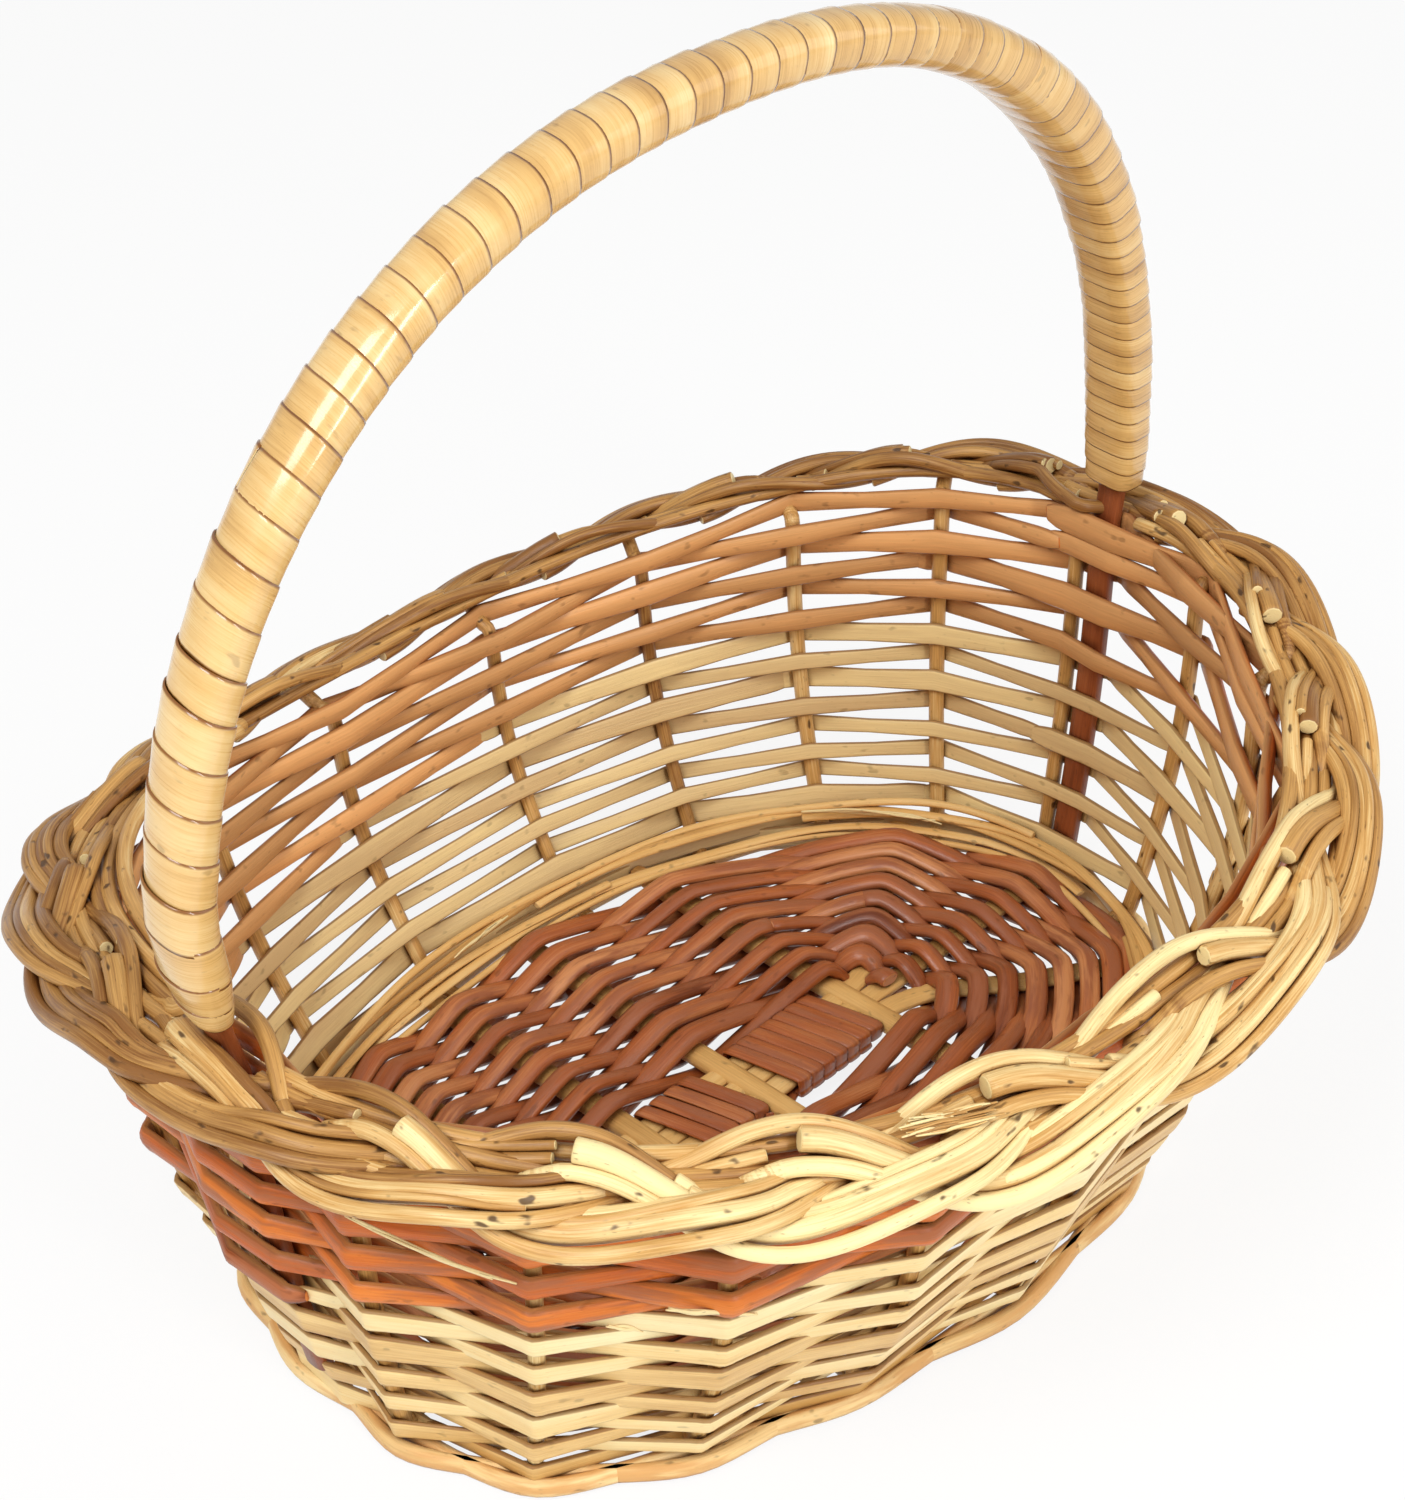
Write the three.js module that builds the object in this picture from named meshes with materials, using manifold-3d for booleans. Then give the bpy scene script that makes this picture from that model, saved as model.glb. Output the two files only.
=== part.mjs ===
// Oval wicker basket with a plaited border and a strip-wrapped bow handle.
// Lengths are in millimetres. The basket stands on the plane z = 0, with its long axis and its handle along X.

import * as THREE from 'three';
import Module from 'manifold-3d';

const wasm = await Module();
wasm.setup();

// Fit between pieces that touch, and the shape of the ovals (2 is an ellipse, more is squarer).
const fit = 0.3;
const ovalPower = 2.15;

// Wall, measured on the middle of the upright stakes.
const rimHalfLength = 128.5;
const rimHalfWidth = 106.6;
const footHalfLength = 119.5;
const footHalfWidth = 83.5;
const wallBulge = 0.28;

// Middle of the plaited border above the ground, how far it rises at the ends and drops at the sides,
// and how far it leans from the -Y side, which is high, to the +Y side, which is low.
const borderHeight = 95.2;
const borderSaddle = 9;
const borderLean = 6.9;

// Upright stakes. Each has a shaved tongue in the base, turns up the wall and runs on into the plait.
const stakeCount = 19;
const stakeRadius = 2;
const tongueLength = 9;
const tongueThickness = 2.4;
const heelRadius = 3.2;

// Plait: strands of two rods, a stake and the liner beside it, each a little under three stakes long.
// It slopes down outwards like a collar.
const plaitRodRadius = 1.9;
const plaitRodGap = 0.5;
const plaitSpread = 8;
const plaitRise = 6.4;
const plaitSlope = 0.42;
const linerStart = 0.25;
const plaitEnd = 2.85;
const strands = 3;

// Weavers of the wall: flat cream strips below, round brown rods above, and a foot rod under all.
const creamThickness = 1.3;
const creamLaps = 10;
const creamPieces = 3;
const brownRadius = 1.6;
const brownLaps = 6;
const brownPieces = 2;
const rowGap = 0.75;
const cornerSlack = 0.3;
const footRodSize = 4.2;
const firstRowRise = 4.6;
const pieceGap = 1.2;

// Bow handle: a core whose flat legs run down the wall beside a stake, and the strips wound round it.
const bowHalfSpan = 135;
const bowTop = 252;
const bowPower = 2.35;
const legHalfWidth = 3.4;
const legHalfThickness = 2;
const legInset = 7.9;
const legFootRise = 8;
const coreHalfWidth = 6.1;
const coreHalfThickness = 4.4;
const shoulderLength = 5;
const bareLength = 2;
const wrapThickness = 1.2;
const wrapFit = 0.6;
const wrapGap = 0.8;
const wrapPieces = [
  { name: 'handle_wrap_left', share: 0.25, turns: 12 },
  { name: 'handle_wrap_top_left', share: 0.37, turns: 23 },
  { name: 'handle_wrap_top_right', share: 0.22, turns: 14 },
  { name: 'handle_wrap_right', share: 0.16, turns: 13 },
];

// Base: slit cross sticks threaded by long sticks, bound with a strip and woven round with two rods.
const crossPlaces = [-50.5, -24, 5, 44];
const crossHalfWidth = 3;
const crossHalfHeight = 2.3;
const longCount = 3;
const longHalfWidth = 3;
const longHalfHeight = 1.1;
const fanAngle = 32;
const baseRodRadius = 1.85;
const baseLaps = 4;
const firstRowMargin = 9;
const innerPower = 4;
const groupSpacing = 18;
const bindingTurns = 4;
const bindingWidth = 3.4;
const bindingThickness = 1;
const edgeSlack = 0.8;
const groundGap = 0.5;

// Facets and steps of the curved pieces.
const rodSides = 5;
const coreSides = 8;
const footSides = 6;
const footSteps = 38;
const plaitStep = 0.25;
const bowSteps = 32;

const TAU = Math.PI * 2;
const UP = new THREE.Vector3(0, 0, 1);
const SIDE = new THREE.Vector3(0, 1, 0);
const lerp = THREE.MathUtils.lerp;
const unitAngle = TAU / stakeCount;

// Materials, in the colours of peeled, stained and split willow.
const finish = (color, roughness) => new THREE.MeshStandardMaterial({ color, roughness, metalness: 0 });
const stakeFinish = finish(0xb98a4e, 0.5);
const plaitFinish = finish(0xc89a5a, 0.42);
const creamFinish = finish(0xe3c387, 0.5);
const brownFinish = finish(0x9c5a35, 0.4);
const footFinish = finish(0xc08048, 0.5);
const coreFinish = finish(0x8a4a2c, 0.5);
const wrapFinish = finish(0xe6c489, 0.35);
const stickFinish = finish(0xcfa565, 0.5);

// Point of an oval at a stretched angle, and its outward direction there.
const signedPower = (value, power) => Math.sign(value) * Math.abs(value) ** power;

function ovalPoint(halfLength, halfWidth, angle, power = ovalPower) {
  const x = halfLength * signedPower(Math.cos(angle), 2 / power);
  const y = halfWidth * signedPower(Math.sin(angle), 2 / power);
  return new THREE.Vector3(x, y, 0);
}

function ovalNormal(halfLength, halfWidth, angle) {
  const p = ovalPoint(1, 1, angle);
  const x = signedPower(p.x, ovalPower - 1) / halfLength;
  const y = signedPower(p.y, ovalPower - 1) / halfWidth;
  return new THREE.Vector3(x, y, 0).normalize();
}

// Stretched angle at which an oval of some half width is this far from the X axis.
const angleAside = (aside, halfWidth) => Math.asin((aside / halfWidth) ** (ovalPower / 2));

// Middle line of the border. It stands outside the stakes by the reach of the plait.
const rodSpacing = 2 * plaitRodRadius + plaitRodGap;
const borderOut = plaitSpread + rodSpacing / 2;
const borderHalfLength = rimHalfLength + borderOut;
const borderHalfWidth = rimHalfWidth + borderOut;

function borderLevel(x, y) {
  const u = x / borderHalfLength;
  const v = y / borderHalfWidth;
  return borderHeight + borderSaddle * (u * u - v * v) - borderLean * v;
}

// Level where the wall ends, just under the plait.
function wallTop(angle) {
  const p = ovalPoint(borderHalfLength, borderHalfWidth, angle);
  return borderLevel(p.x, p.y) + plaitSlope * rodSpacing - plaitRise - plaitRodRadius - fit;
}

// Levels at the foot: the tongues lie on the foot rod, and the base hangs just clear of the ground.
const tongueLevel = footRodSize + 2 * fit + tongueThickness / 2;
const crossRodLift = crossHalfHeight + fit + baseRodRadius;
const baseLevel = groundGap + crossRodLift + baseRodRadius;
const firstRowLevel = tongueLevel + firstRowRise;

// Half axes of the wall at a level, as a share of the way from the foot to the rim.
function wallSpread(angle, level) {
  const rise = THREE.MathUtils.clamp((level - tongueLevel) / (wallTop(angle) - tongueLevel), 0, 1);
  const share = rise + wallBulge * Math.sin(Math.PI * rise);
  return [lerp(footHalfLength, rimHalfLength, share), lerp(footHalfWidth, rimHalfWidth, share)];
}

const wallPoint = (angle, level) => ovalPoint(...wallSpread(angle, level), angle).setZ(level);

// Directions out of the wall and up along it.
function wallFrame(angle, level) {
  const small = 0.01;
  const along = wallPoint(angle + small, level).sub(wallPoint(angle - small, level)).normalize();
  const rise = wallPoint(angle, level + 1).sub(wallPoint(angle, level - 1));
  const out = new THREE.Vector3().crossVectors(along, rise).normalize();
  const up = new THREE.Vector3().crossVectors(out, along).normalize();
  return { out, up };
}

// Places of the stakes. The first stands beside the leg of the bow at +X.
const legFootLevel = tongueLevel + legFootRise;
const legFootHalfWidth = wallSpread(0, legFootLevel)[1];
const stakePhase = angleAside(legHalfWidth + stakeRadius + 2 * fit, legFootHalfWidth);
const legEdgeAngle = angleAside(legHalfWidth + fit, legFootHalfWidth);
const stakeAngle = (unit) => stakePhase + unit * unitAngle;
const legPlaces = [-stakePhase, Math.PI - stakePhase, TAU - stakePhase].map((angle) => angle / unitAngle);

// Sweeps a section along a path as one closed solid. A section is a list of [across, along] offsets, where
// along follows the hint direction. The section is mitred at each corner of the path.
function sweep(path, hints, sectionAt, closed = false) {
  const count = path.length;
  const positions = [];
  const index = [];
  const sides = sectionAt(0).length;
  for (let i = 0; i < count; i++) {
    const before = path[closed ? (i + count - 1) % count : Math.max(i - 1, 0)];
    const after = path[closed ? (i + 1) % count : Math.min(i + 1, count - 1)];
    const arrive = new THREE.Vector3().subVectors(path[i], before);
    const leave = new THREE.Vector3().subVectors(after, path[i]);
    if (arrive.lengthSq() === 0) arrive.copy(leave);
    if (leave.lengthSq() === 0) leave.copy(arrive);
    arrive.normalize();
    leave.normalize();
    const tangent = arrive.clone().add(leave).normalize();
    const across = new THREE.Vector3().crossVectors(tangent, hints[i]).normalize();
    const along = new THREE.Vector3().crossVectors(across, tangent).normalize();
    const bend = leave.clone().sub(arrive).normalize();
    const stretch = 1 / arrive.dot(tangent) - 1;
    for (const [a, b] of sectionAt(i)) {
      const offset = across.clone().multiplyScalar(a).addScaledVector(along, b);
      offset.addScaledVector(bend, stretch * offset.dot(bend)).add(path[i]);
      positions.push(offset.x, offset.y, offset.z);
    }
  }
  const bands = closed ? count : count - 1;
  for (let i = 0; i < bands; i++) {
    for (let j = 0; j < sides; j++) {
      const a = i * sides + j;
      const b = i * sides + (j + 1) % sides;
      const c = ((i + 1) % count) * sides + j;
      const d = ((i + 1) % count) * sides + (j + 1) % sides;
      index.push(a, c, b, b, c, d);
    }
  }
  if (!closed) {
    const last = (count - 1) * sides;
    for (let j = 1; j < sides - 1; j++) {
      index.push(0, j, j + 1);
      index.push(last, last + j + 1, last + j);
    }
  }
  return surface(positions, index);
}

function surface(positions, index) {
  const geometry = new THREE.BufferGeometry();
  geometry.setAttribute('position', new THREE.Float32BufferAttribute(positions, 3));
  geometry.setIndex(index);
  geometry.computeVertexNormals();
  return geometry;
}

// Cuts one closed surface with another.
function cut(geometry, tool) {
  const [body, knife] = [geometry, tool].map((g) => new wasm.Manifold(new wasm.Mesh({
    numProp: 3,
    vertProperties: Float32Array.from(g.getAttribute('position').array),
    triVerts: Uint32Array.from(g.getIndex().array),
  })));
  const mesh = body.subtract(knife).getMesh();
  return surface(Array.from(mesh.vertProperties), Array.from(mesh.triVerts));
}

// Sections.
function roundSection(halfAcross, halfAlong, sides, power = 2) {
  const section = [];
  for (let j = 0; j < sides; j++) {
    const p = ovalPoint(halfAcross, halfAlong, TAU * (j + 0.5) / sides, power);
    section.push([p.x, p.y]);
  }
  return section;
}

const boxSection = (a, b) => [[a / 2, -b / 2], [a / 2, b / 2], [-a / 2, b / 2], [-a / 2, -b / 2]];
const same = (section) => () => section;

// Directions carried along a path without twist, from a first hint.
function carryHints(path, first) {
  const hints = [first.clone()];
  for (let i = 1; i < path.length; i++) {
    const tangent = path[Math.min(i + 1, path.length - 1)].clone().sub(path[i - 1]).normalize();
    const hint = hints[i - 1].clone();
    hints.push(hint.addScaledVector(tangent, -hint.dot(tangent)).normalize());
  }
  return hints;
}

const group = new THREE.Group();

function add(name, geometry, material) {
  const mesh = new THREE.Mesh(geometry, material);
  mesh.name = name;
  group.add(mesh);
}

const numbered = (name, number) => `${name}_${String(number).padStart(2, '0')}`;

// Point of a plait rod, where age is how far it has run since its stake, in stakes, and rank is -1 for the
// stake's own end or 1 for its liner. A strand moves out round a leg of the bow, and one that starts just
// before a leg parts round it.
const legClear = legHalfThickness + plaitRodRadius + fit;
const legReach = 3.2 * (legHalfWidth + plaitRodRadius);
const partsAtLeg = (stake) => legPlaces.some((leg) => leg > stake && leg < stake + 0.5);

function plaitPoint(stake, age, rank) {
  const turn = TAU * age / strands;
  const angle = stakeAngle(stake + age);
  const p = ovalPoint(borderHalfLength, borderHalfWidth, angle);
  let out = -plaitSpread * Math.cos(turn) + rank * rodSpacing / 2;
  if (Math.abs(p.y) < legReach) {
    const clear = legClear * Math.sqrt(1 - (p.y / legReach) ** 2);
    const parting = partsAtLeg(stake) && age < 1;
    const strandSide = parting ? 0 : rank + 1;
    const limit = -legInset + clear + strandSide * rodSpacing / 2;
    if (parting && rank < 0) out = Math.min(out, -legInset - clear);
    else out = Math.max(out, limit);
  }
  p.addScaledVector(ovalNormal(borderHalfLength, borderHalfWidth, angle), out);
  return p.setZ(borderLevel(p.x, p.y) + plaitRise * Math.sin(2 * turn) - plaitSlope * out);
}

// Ages at which a plait rod is drawn. A rod whose last stretch would meet a leg stops before it.
function plaitAges(stake, start) {
  let end = plaitEnd;
  for (const leg of legPlaces) {
    const age = leg - stake;
    const room = 1.5 * (legHalfWidth + plaitRodRadius) / (unitAngle * borderHalfWidth);
    if (age > strands - 0.5 && age < strands) end = Math.min(end, age - room);
  }
  const ages = [start];
  for (let age = plaitStep; age < end - plaitStep / 3; age += plaitStep) {
    if (age > start + plaitStep / 3) ages.push(age);
  }
  ages.push(end);
  return ages;
}

// Stake: shaved tongue in the base, heel, upright along the wall, and the end that is plaited.
function stake(number) {
  const angle = stakeAngle(number);
  const out = ovalNormal(footHalfLength, footHalfWidth, angle);
  const inward = (distance, rise) => wallPoint(angle, tongueLevel).addScaledVector(out, -distance).setZ(
    tongueLevel + rise);
  const path = [inward(tongueLength, 0), inward(heelRadius, 0), inward(0.3 * heelRadius, 0.3 * heelRadius)];
  const top = wallTop(angle);
  for (const share of [0, 1 / 3, 2 / 3, 1]) path.push(wallPoint(angle, lerp(tongueLevel + heelRadius, top, share)));
  const entry = plaitPoint(number, 0, -1);
  path.push(entry.setZ(entry.z - plaitRodRadius));
  const plaitedFrom = path.length;
  for (const age of plaitAges(number, plaitStep / 2)) path.push(plaitPoint(number, age, -1));
  const tongue = roundSection(tongueThickness / 2, stakeRadius, rodSides);
  const round = roundSection(stakeRadius, stakeRadius, rodSides);
  const plaited = roundSection(plaitRodRadius, plaitRodRadius, rodSides);
  const sectionAt = (i) => (i < 2 ? tongue : i < plaitedFrom ? round : plaited);
  return sweep(path, carryHints(path, new THREE.Vector3().crossVectors(UP, out)), sectionAt);
}

function liner(number) {
  const path = plaitAges(number, linerStart).map((age) => plaitPoint(number, age, 1));
  return sweep(path, carryHints(path, UP), same(roundSection(plaitRodRadius, plaitRodRadius, rodSides)));
}

for (let i = 0; i < stakeCount; i++) add(numbered('side_stake', i + 1), stake(i), stakeFinish);
for (let i = 0; i < stakeCount; i++) add(numbered('border_liner', i + 1), liner(i), plaitFinish);

// Posts that a weaver passes in one lap, with the stake whose side it takes. A leg of the bow is passed
// on the side of the stake beside it, and counts at its far edge.
function lapPosts() {
  const posts = [];
  for (let i = 0; i < stakeCount; i++) posts.push({ angle: stakeAngle(i), count: i });
  posts.push({ angle: TAU - legEdgeAngle, count: stakeCount });
  posts.push({ angle: Math.PI + legEdgeAngle, count: Math.floor(legPlaces[1]) });
  return posts.sort((a, b) => a.angle - b.angle);
}

// Height of the spiral of weavers after some laps, and the distance between its rows there.
const wallLaps = creamLaps + brownLaps;
const rowPitch = (angle) => (wallTop(angle) - firstRowLevel) / (wallLaps + 0.5);
const rowLevel = (angle, laps) => firstRowLevel + laps * rowPitch(angle);

function rowHeight(angle, laps) {
  const level = rowLevel(angle, laps);
  return wallPoint(angle, level + rowPitch(angle)).distanceTo(wallPoint(angle, level)) - rowGap;
}

// Point of a weaver at a post, so far in or out that it clears the stake.
function weaverPoint(post, lap, halfThickness) {
  const laps = lap + (post.angle - stakePhase) / TAU;
  const angle = post.angle;
  const side = (lap * stakeCount + post.count) % 2 === 0 ? 1 : -1;
  const level = rowLevel(angle, laps);
  const { out, up } = wallFrame(angle, level);
  const away = side * (stakeRadius + fit + halfThickness + cornerSlack);
  return { at: wallPoint(angle, level).addScaledVector(out, away), up, height: rowHeight(angle, laps) };
}

// Weavers from one lap to another, as several pieces that butt just past a stake.
function wallWeavers(name, startLap, endLap, pieces, halfThickness, sectionFor, material) {
  const stops = [];
  for (let lap = startLap; lap < endLap; lap++) {
    for (const post of lapPosts()) stops.push(weaverPoint(post, lap, halfThickness));
  }
  stops.push(weaverPoint(lapPosts()[0], endLap, halfThickness));
  const between = (i, distance) => {
    const next = stops[Math.min(i + 1, stops.length - 1)];
    const at = stops[i].at.clone();
    if (next !== stops[i]) at.lerp(next.at, distance / at.distanceTo(next.at));
    return { ...stops[i], at };
  };
  for (let piece = 0; piece < pieces; piece++) {
    const first = Math.round((stops.length - 1) * piece / pieces);
    const last = Math.round((stops.length - 1) * (piece + 1) / pieces);
    const reach = 2 * stakeRadius;
    const run = [between(first, reach + pieceGap), ...stops.slice(first + 1, last)];
    run.push(stops[last]);
    if (last < stops.length - 1) run.push(between(last, reach));
    const path = run.map((stop) => stop.at);
    const geometry = sweep(path, run.map((stop) => stop.up), (i) => sectionFor(run[i]));
    add(`${name}_${piece + 1}`, geometry, material);
  }
}

const stripFor = (stop) => boxSection(creamThickness, stop.height);
const rodFor = (stop) => roundSection(brownRadius, stop.height / 2, rodSides);
wallWeavers('cream_weaver', 0, creamLaps, creamPieces, creamThickness / 2, stripFor, creamFinish);
wallWeavers('brown_weaver', creamLaps, wallLaps, brownPieces, brownRadius, rodFor, brownFinish);

// Foot rod: a closed ring under the tongues, worn flat where it stands.
function footRod() {
  const path = [];
  const hints = [];
  for (let i = 0; i < footSteps; i++) {
    const angle = TAU * i / footSteps;
    path.push(ovalPoint(footHalfLength, footHalfWidth, angle).setZ(footRodSize / 2));
    hints.push(ovalNormal(footHalfLength, footHalfWidth, angle));
  }
  const radius = footRodSize / 2 / Math.cos(Math.PI / footSides);
  return sweep(path, hints, same(roundSection(radius, radius, footSides)), true);
}

add('foot_row', footRod(), footFinish);

// Middle line of the bow and its legs in the plane y = 0, from the foot at -X to the foot at +X.
const legBorderX = borderHalfLength - legInset;
const plaitTop = plaitSlope * (legInset + legClear) + plaitRise + plaitRodRadius;
const legTopLevel = borderLevel(legBorderX, 0) + plaitTop + fit;
const springLevel = legTopLevel + shoulderLength;

function legLine() {
  const line = [];
  const top = wallTop(0);
  for (const share of [0, 0.25, 0.5, 0.75, 1]) {
    const p = wallPoint(0, lerp(legFootLevel, top, share));
    line.push({ x: p.x, z: p.z, grown: 0 });
  }
  line.push({ x: legBorderX, z: lerp(top, legTopLevel, 0.25), grown: 0 });
  line.push({ x: legBorderX, z: legTopLevel, grown: 0 });
  line.push({ x: bowHalfSpan, z: springLevel, grown: 1 });
  return line;
}

function bowLine() {
  const leg = legLine();
  const line = leg.map((stop) => ({ ...stop, x: -stop.x }));
  for (let i = 1; i < bowSteps; i++) {
    const p = ovalPoint(bowHalfSpan, bowTop - springLevel, Math.PI * (1 - i / bowSteps), bowPower);
    line.push({ x: p.x, z: springLevel + p.y, grown: 1 });
  }
  line.push(...leg.reverse());
  return line;
}

const bow = bowLine();

function coreSection(grown, reach, sides) {
  const across = lerp(legHalfThickness, coreHalfThickness, grown) + reach;
  const along = lerp(legHalfWidth, coreHalfWidth, grown) + reach;
  return roundSection(across, along, sides, lerp(6, 2.6, grown));
}

function hoop() {
  const path = bow.map((stop) => new THREE.Vector3(stop.x, 0, stop.z));
  return sweep(path, path.map(() => SIDE), (i) => coreSection(bow[i].grown, 0, coreSides));
}

add('handle_hoop', hoop(), coreFinish);

// Stretch of the bow that is wrapped, as points with the distance run.
function wrappedLine() {
  const line = [];
  let run = 0;
  for (const stop of bow.filter((each) => each.grown === 1)) {
    const at = new THREE.Vector3(stop.x, 0, stop.z);
    if (line.length > 0) run += at.distanceTo(line[line.length - 1].at);
    line.push({ at, run });
  }
  return line;
}

const wrapped = wrappedLine();

function bowAt(run) {
  let i = 1;
  while (i < wrapped.length - 1 && wrapped[i].run < run) i++;
  const from = wrapped[i - 1];
  const to = wrapped[i];
  const share = (run - from.run) / (to.run - from.run);
  const at = from.at.clone().lerp(to.at, share);
  const corners = [Math.max(i - 2, 0), Math.min(i + 1, wrapped.length - 1)];
  const before = from.at.clone().sub(wrapped[corners[0]].at);
  const after = wrapped[corners[1]].at.clone().sub(to.at);
  const here = to.at.clone().sub(from.at).normalize();
  const start = before.lengthSq() > 0 ? before.normalize().add(here).normalize() : here;
  const end = after.lengthSq() > 0 ? after.normalize().add(here).normalize() : here;
  return { at, tangent: start.clone().lerp(end, share).normalize() };
}

// Least gap between one turn of a strip and the next, measured on points of their facing edges.
function leastTurnGap(path, edges, perTurn) {
  let least = Infinity;
  const grain = 4;
  const pointsOf = (side) => {
    const points = [];
    for (let i = 0; i < path.length - 1; i++) {
      const from = path[i].clone().addScaledVector(edges[i], side);
      const to = path[i + 1].clone().addScaledVector(edges[i + 1], side);
      for (let k = 0; k < grain; k++) points.push(from.clone().lerp(to, k / grain));
    }
    return points;
  };
  const front = pointsOf(1);
  const back = pointsOf(-1);
  for (let i = 0; i < front.length; i++) {
    const from = i + grain * perTurn / 2;
    for (let j = from; j < Math.min(from + grain * perTurn, back.length); j++) {
      least = Math.min(least, front[i].distanceTo(back[j]), back[i].distanceTo(front[j]));
    }
  }
  return least;
}

// One strip wound round the bow between two places. Its width leaves a gap on the inside of the shoulders.
const wrapReach = coreHalfThickness + wrapFit + wrapThickness;
const shoulderRadius = 0.5 * Math.min(bowHalfSpan, bowTop - springLevel);

function wrap({ name, turns }, from, to) {
  const path = [];
  const hints = [];
  const edges = [];
  const pitch = (to - from) / turns;
  const width = pitch * (1 - wrapReach / shoulderRadius) - wrapGap;
  const ring = coreSection(1, wrapFit + wrapThickness / 2, coreSides);
  const steps = turns * coreSides;
  for (let i = 0; i <= steps; i++) {
    const { at, tangent } = bowAt(lerp(from + width / 2, to - width / 2 - pieceGap, i / steps));
    const [across, along] = ring[i % coreSides];
    const outward = new THREE.Vector3().crossVectors(tangent, SIDE).multiplyScalar(across);
    outward.addScaledVector(SIDE, along);
    path.push(at.add(outward));
    hints.push(outward.normalize());
    edges.push(tangent.clone().multiplyScalar(width / 2));
  }
  console.log(`${name}: ${turns} turns, least gap ${leastTurnGap(path, edges, coreSides).toFixed(2)} mm`);
  add(name, sweep(path, hints, same(boxSection(width, wrapThickness))), wrapFinish);
}

const wrappedLength = wrapped[wrapped.length - 1].run - 2 * bareLength;
let wrapStart = bareLength;
for (const piece of wrapPieces) {
  const wrapStop = wrapStart + piece.share * wrappedLength;
  wrap(piece, wrapStart, wrapStop);
  wrapStart = wrapStop;
}

// Base sticks. Long sticks lie side by side through the slits of the cross sticks and fan out past them.
const longPitch = 2 * longHalfWidth + fit;
const slathHalfWidth = (longCount * longPitch - fit) / 2;
const slathMiddle = (crossPlaces[0] + crossPlaces[crossPlaces.length - 1]) / 2;
const slathHalfLength = (crossPlaces[crossPlaces.length - 1] - crossPlaces[0]) / 2 + crossHalfWidth;
const bindingReach = fit + bindingThickness / 2 + 0.7 * fit;
const baseInset = tongueLength + fit + baseRodRadius;

// Oval of a base row, where share goes from 0 at the slath to 1 at the tongues of the stakes.
function baseOval(share) {
  const firstHalfWidth = slathHalfWidth + bindingReach + bindingThickness / 2 + 2 * fit + baseRodRadius;
  return {
    middle: lerp(slathMiddle, 0, share),
    halfLength: lerp(slathHalfLength + firstRowMargin, footHalfLength - baseInset, share),
    halfWidth: lerp(firstHalfWidth, footHalfWidth - baseInset, share),
    power: lerp(innerPower, ovalPower, share),
  };
}

// Distance along a ray at which it meets an oval.
function meet(start, direction, oval) {
  const inside = (distance) => {
    const x = (start[0] + distance * direction[0] - oval.middle) / oval.halfLength;
    const y = (start[1] + distance * direction[1]) / oval.halfWidth;
    return Math.abs(x) ** oval.power + Math.abs(y) ** oval.power < 1;
  };
  let near = 0;
  let far = 2 * footHalfLength;
  for (let i = 0; i < 40; i++) {
    const half = (near + far) / 2;
    if (inside(half)) near = half;
    else far = half;
  }
  return near;
}

// Arms of the base in order round it, from the middle long stick at +X: where each starts, its direction
// and its half width and half height.
function baseArms() {
  const arms = [];
  const fan = THREE.MathUtils.degToRad(fanAngle);
  const long = { halfWidth: longHalfWidth, halfHeight: longHalfHeight };
  const cross = { halfWidth: crossHalfWidth, halfHeight: crossHalfHeight };
  for (const end of [1, -1]) {
    const bendX = slathMiddle + end * (slathHalfLength + longHalfWidth);
    for (const side of [0, 1, -1]) {
      const turned = [end * Math.cos(side * fan), Math.sin(side * fan)];
      arms.push({ ...long, start: [bendX, side * longPitch], direction: turned, middle: side === 0 });
    }
  }
  for (const x of crossPlaces) {
    for (const side of [1, -1]) arms.push({ ...cross, start: [x, 0], direction: [0, side], middle: false });
  }
  const edge = baseOval(1);
  const bearing = ({ start, direction }) => {
    const distance = meet(start, direction, edge);
    const angle = Math.atan2(start[1] + distance * direction[1], start[0] + distance * direction[0]);
    return (angle + TAU) % TAU;
  };
  return arms.sort((a, b) => bearing(a) - bearing(b));
}

const arms = baseArms();

function armPoint(arm, share) {
  const distance = meet(arm.start, arm.direction, baseOval(share));
  const [x, y] = arm.start.map((value, axis) => value + distance * arm.direction[axis]);
  return new THREE.Vector3(x, y, baseLevel);
}

// End of an arm: against the foot rod, or short of the tongues where a stake is in the way.
const footInset = footRodSize / 2 + fit;
const footOval = { middle: 0, halfLength: footHalfLength - footInset, halfWidth: footHalfWidth - footInset,
  power: ovalPower };

function armEnd(arm) {
  const along = new THREE.Vector3(...arm.direction, 0);
  const distance = meet(arm.start, arm.direction, footOval);
  const end = new THREE.Vector3(...arm.start, 0).addScaledVector(along, distance);
  const stretch = new THREE.Line3(armPoint(arm, 1).setZ(0), end);
  const nearest = new THREE.Vector3();
  for (let i = 0; i < stakeCount; i++) {
    const angle = stakeAngle(i);
    const foot = ovalPoint(footHalfLength, footHalfWidth, angle);
    const out = ovalNormal(footHalfLength, footHalfWidth, angle);
    for (const inset of [0, tongueLength / 2, tongueLength]) {
      const tongue = foot.clone().addScaledVector(out, -inset);
      stretch.closestPointToPoint(tongue, true, nearest);
      if (nearest.distanceTo(tongue) < arm.halfWidth + stakeRadius + fit) {
        return armPoint(arm, 1).addScaledVector(along, baseRodRadius / 2);
      }
    }
  }
  return end.setZ(baseLevel);
}

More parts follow.
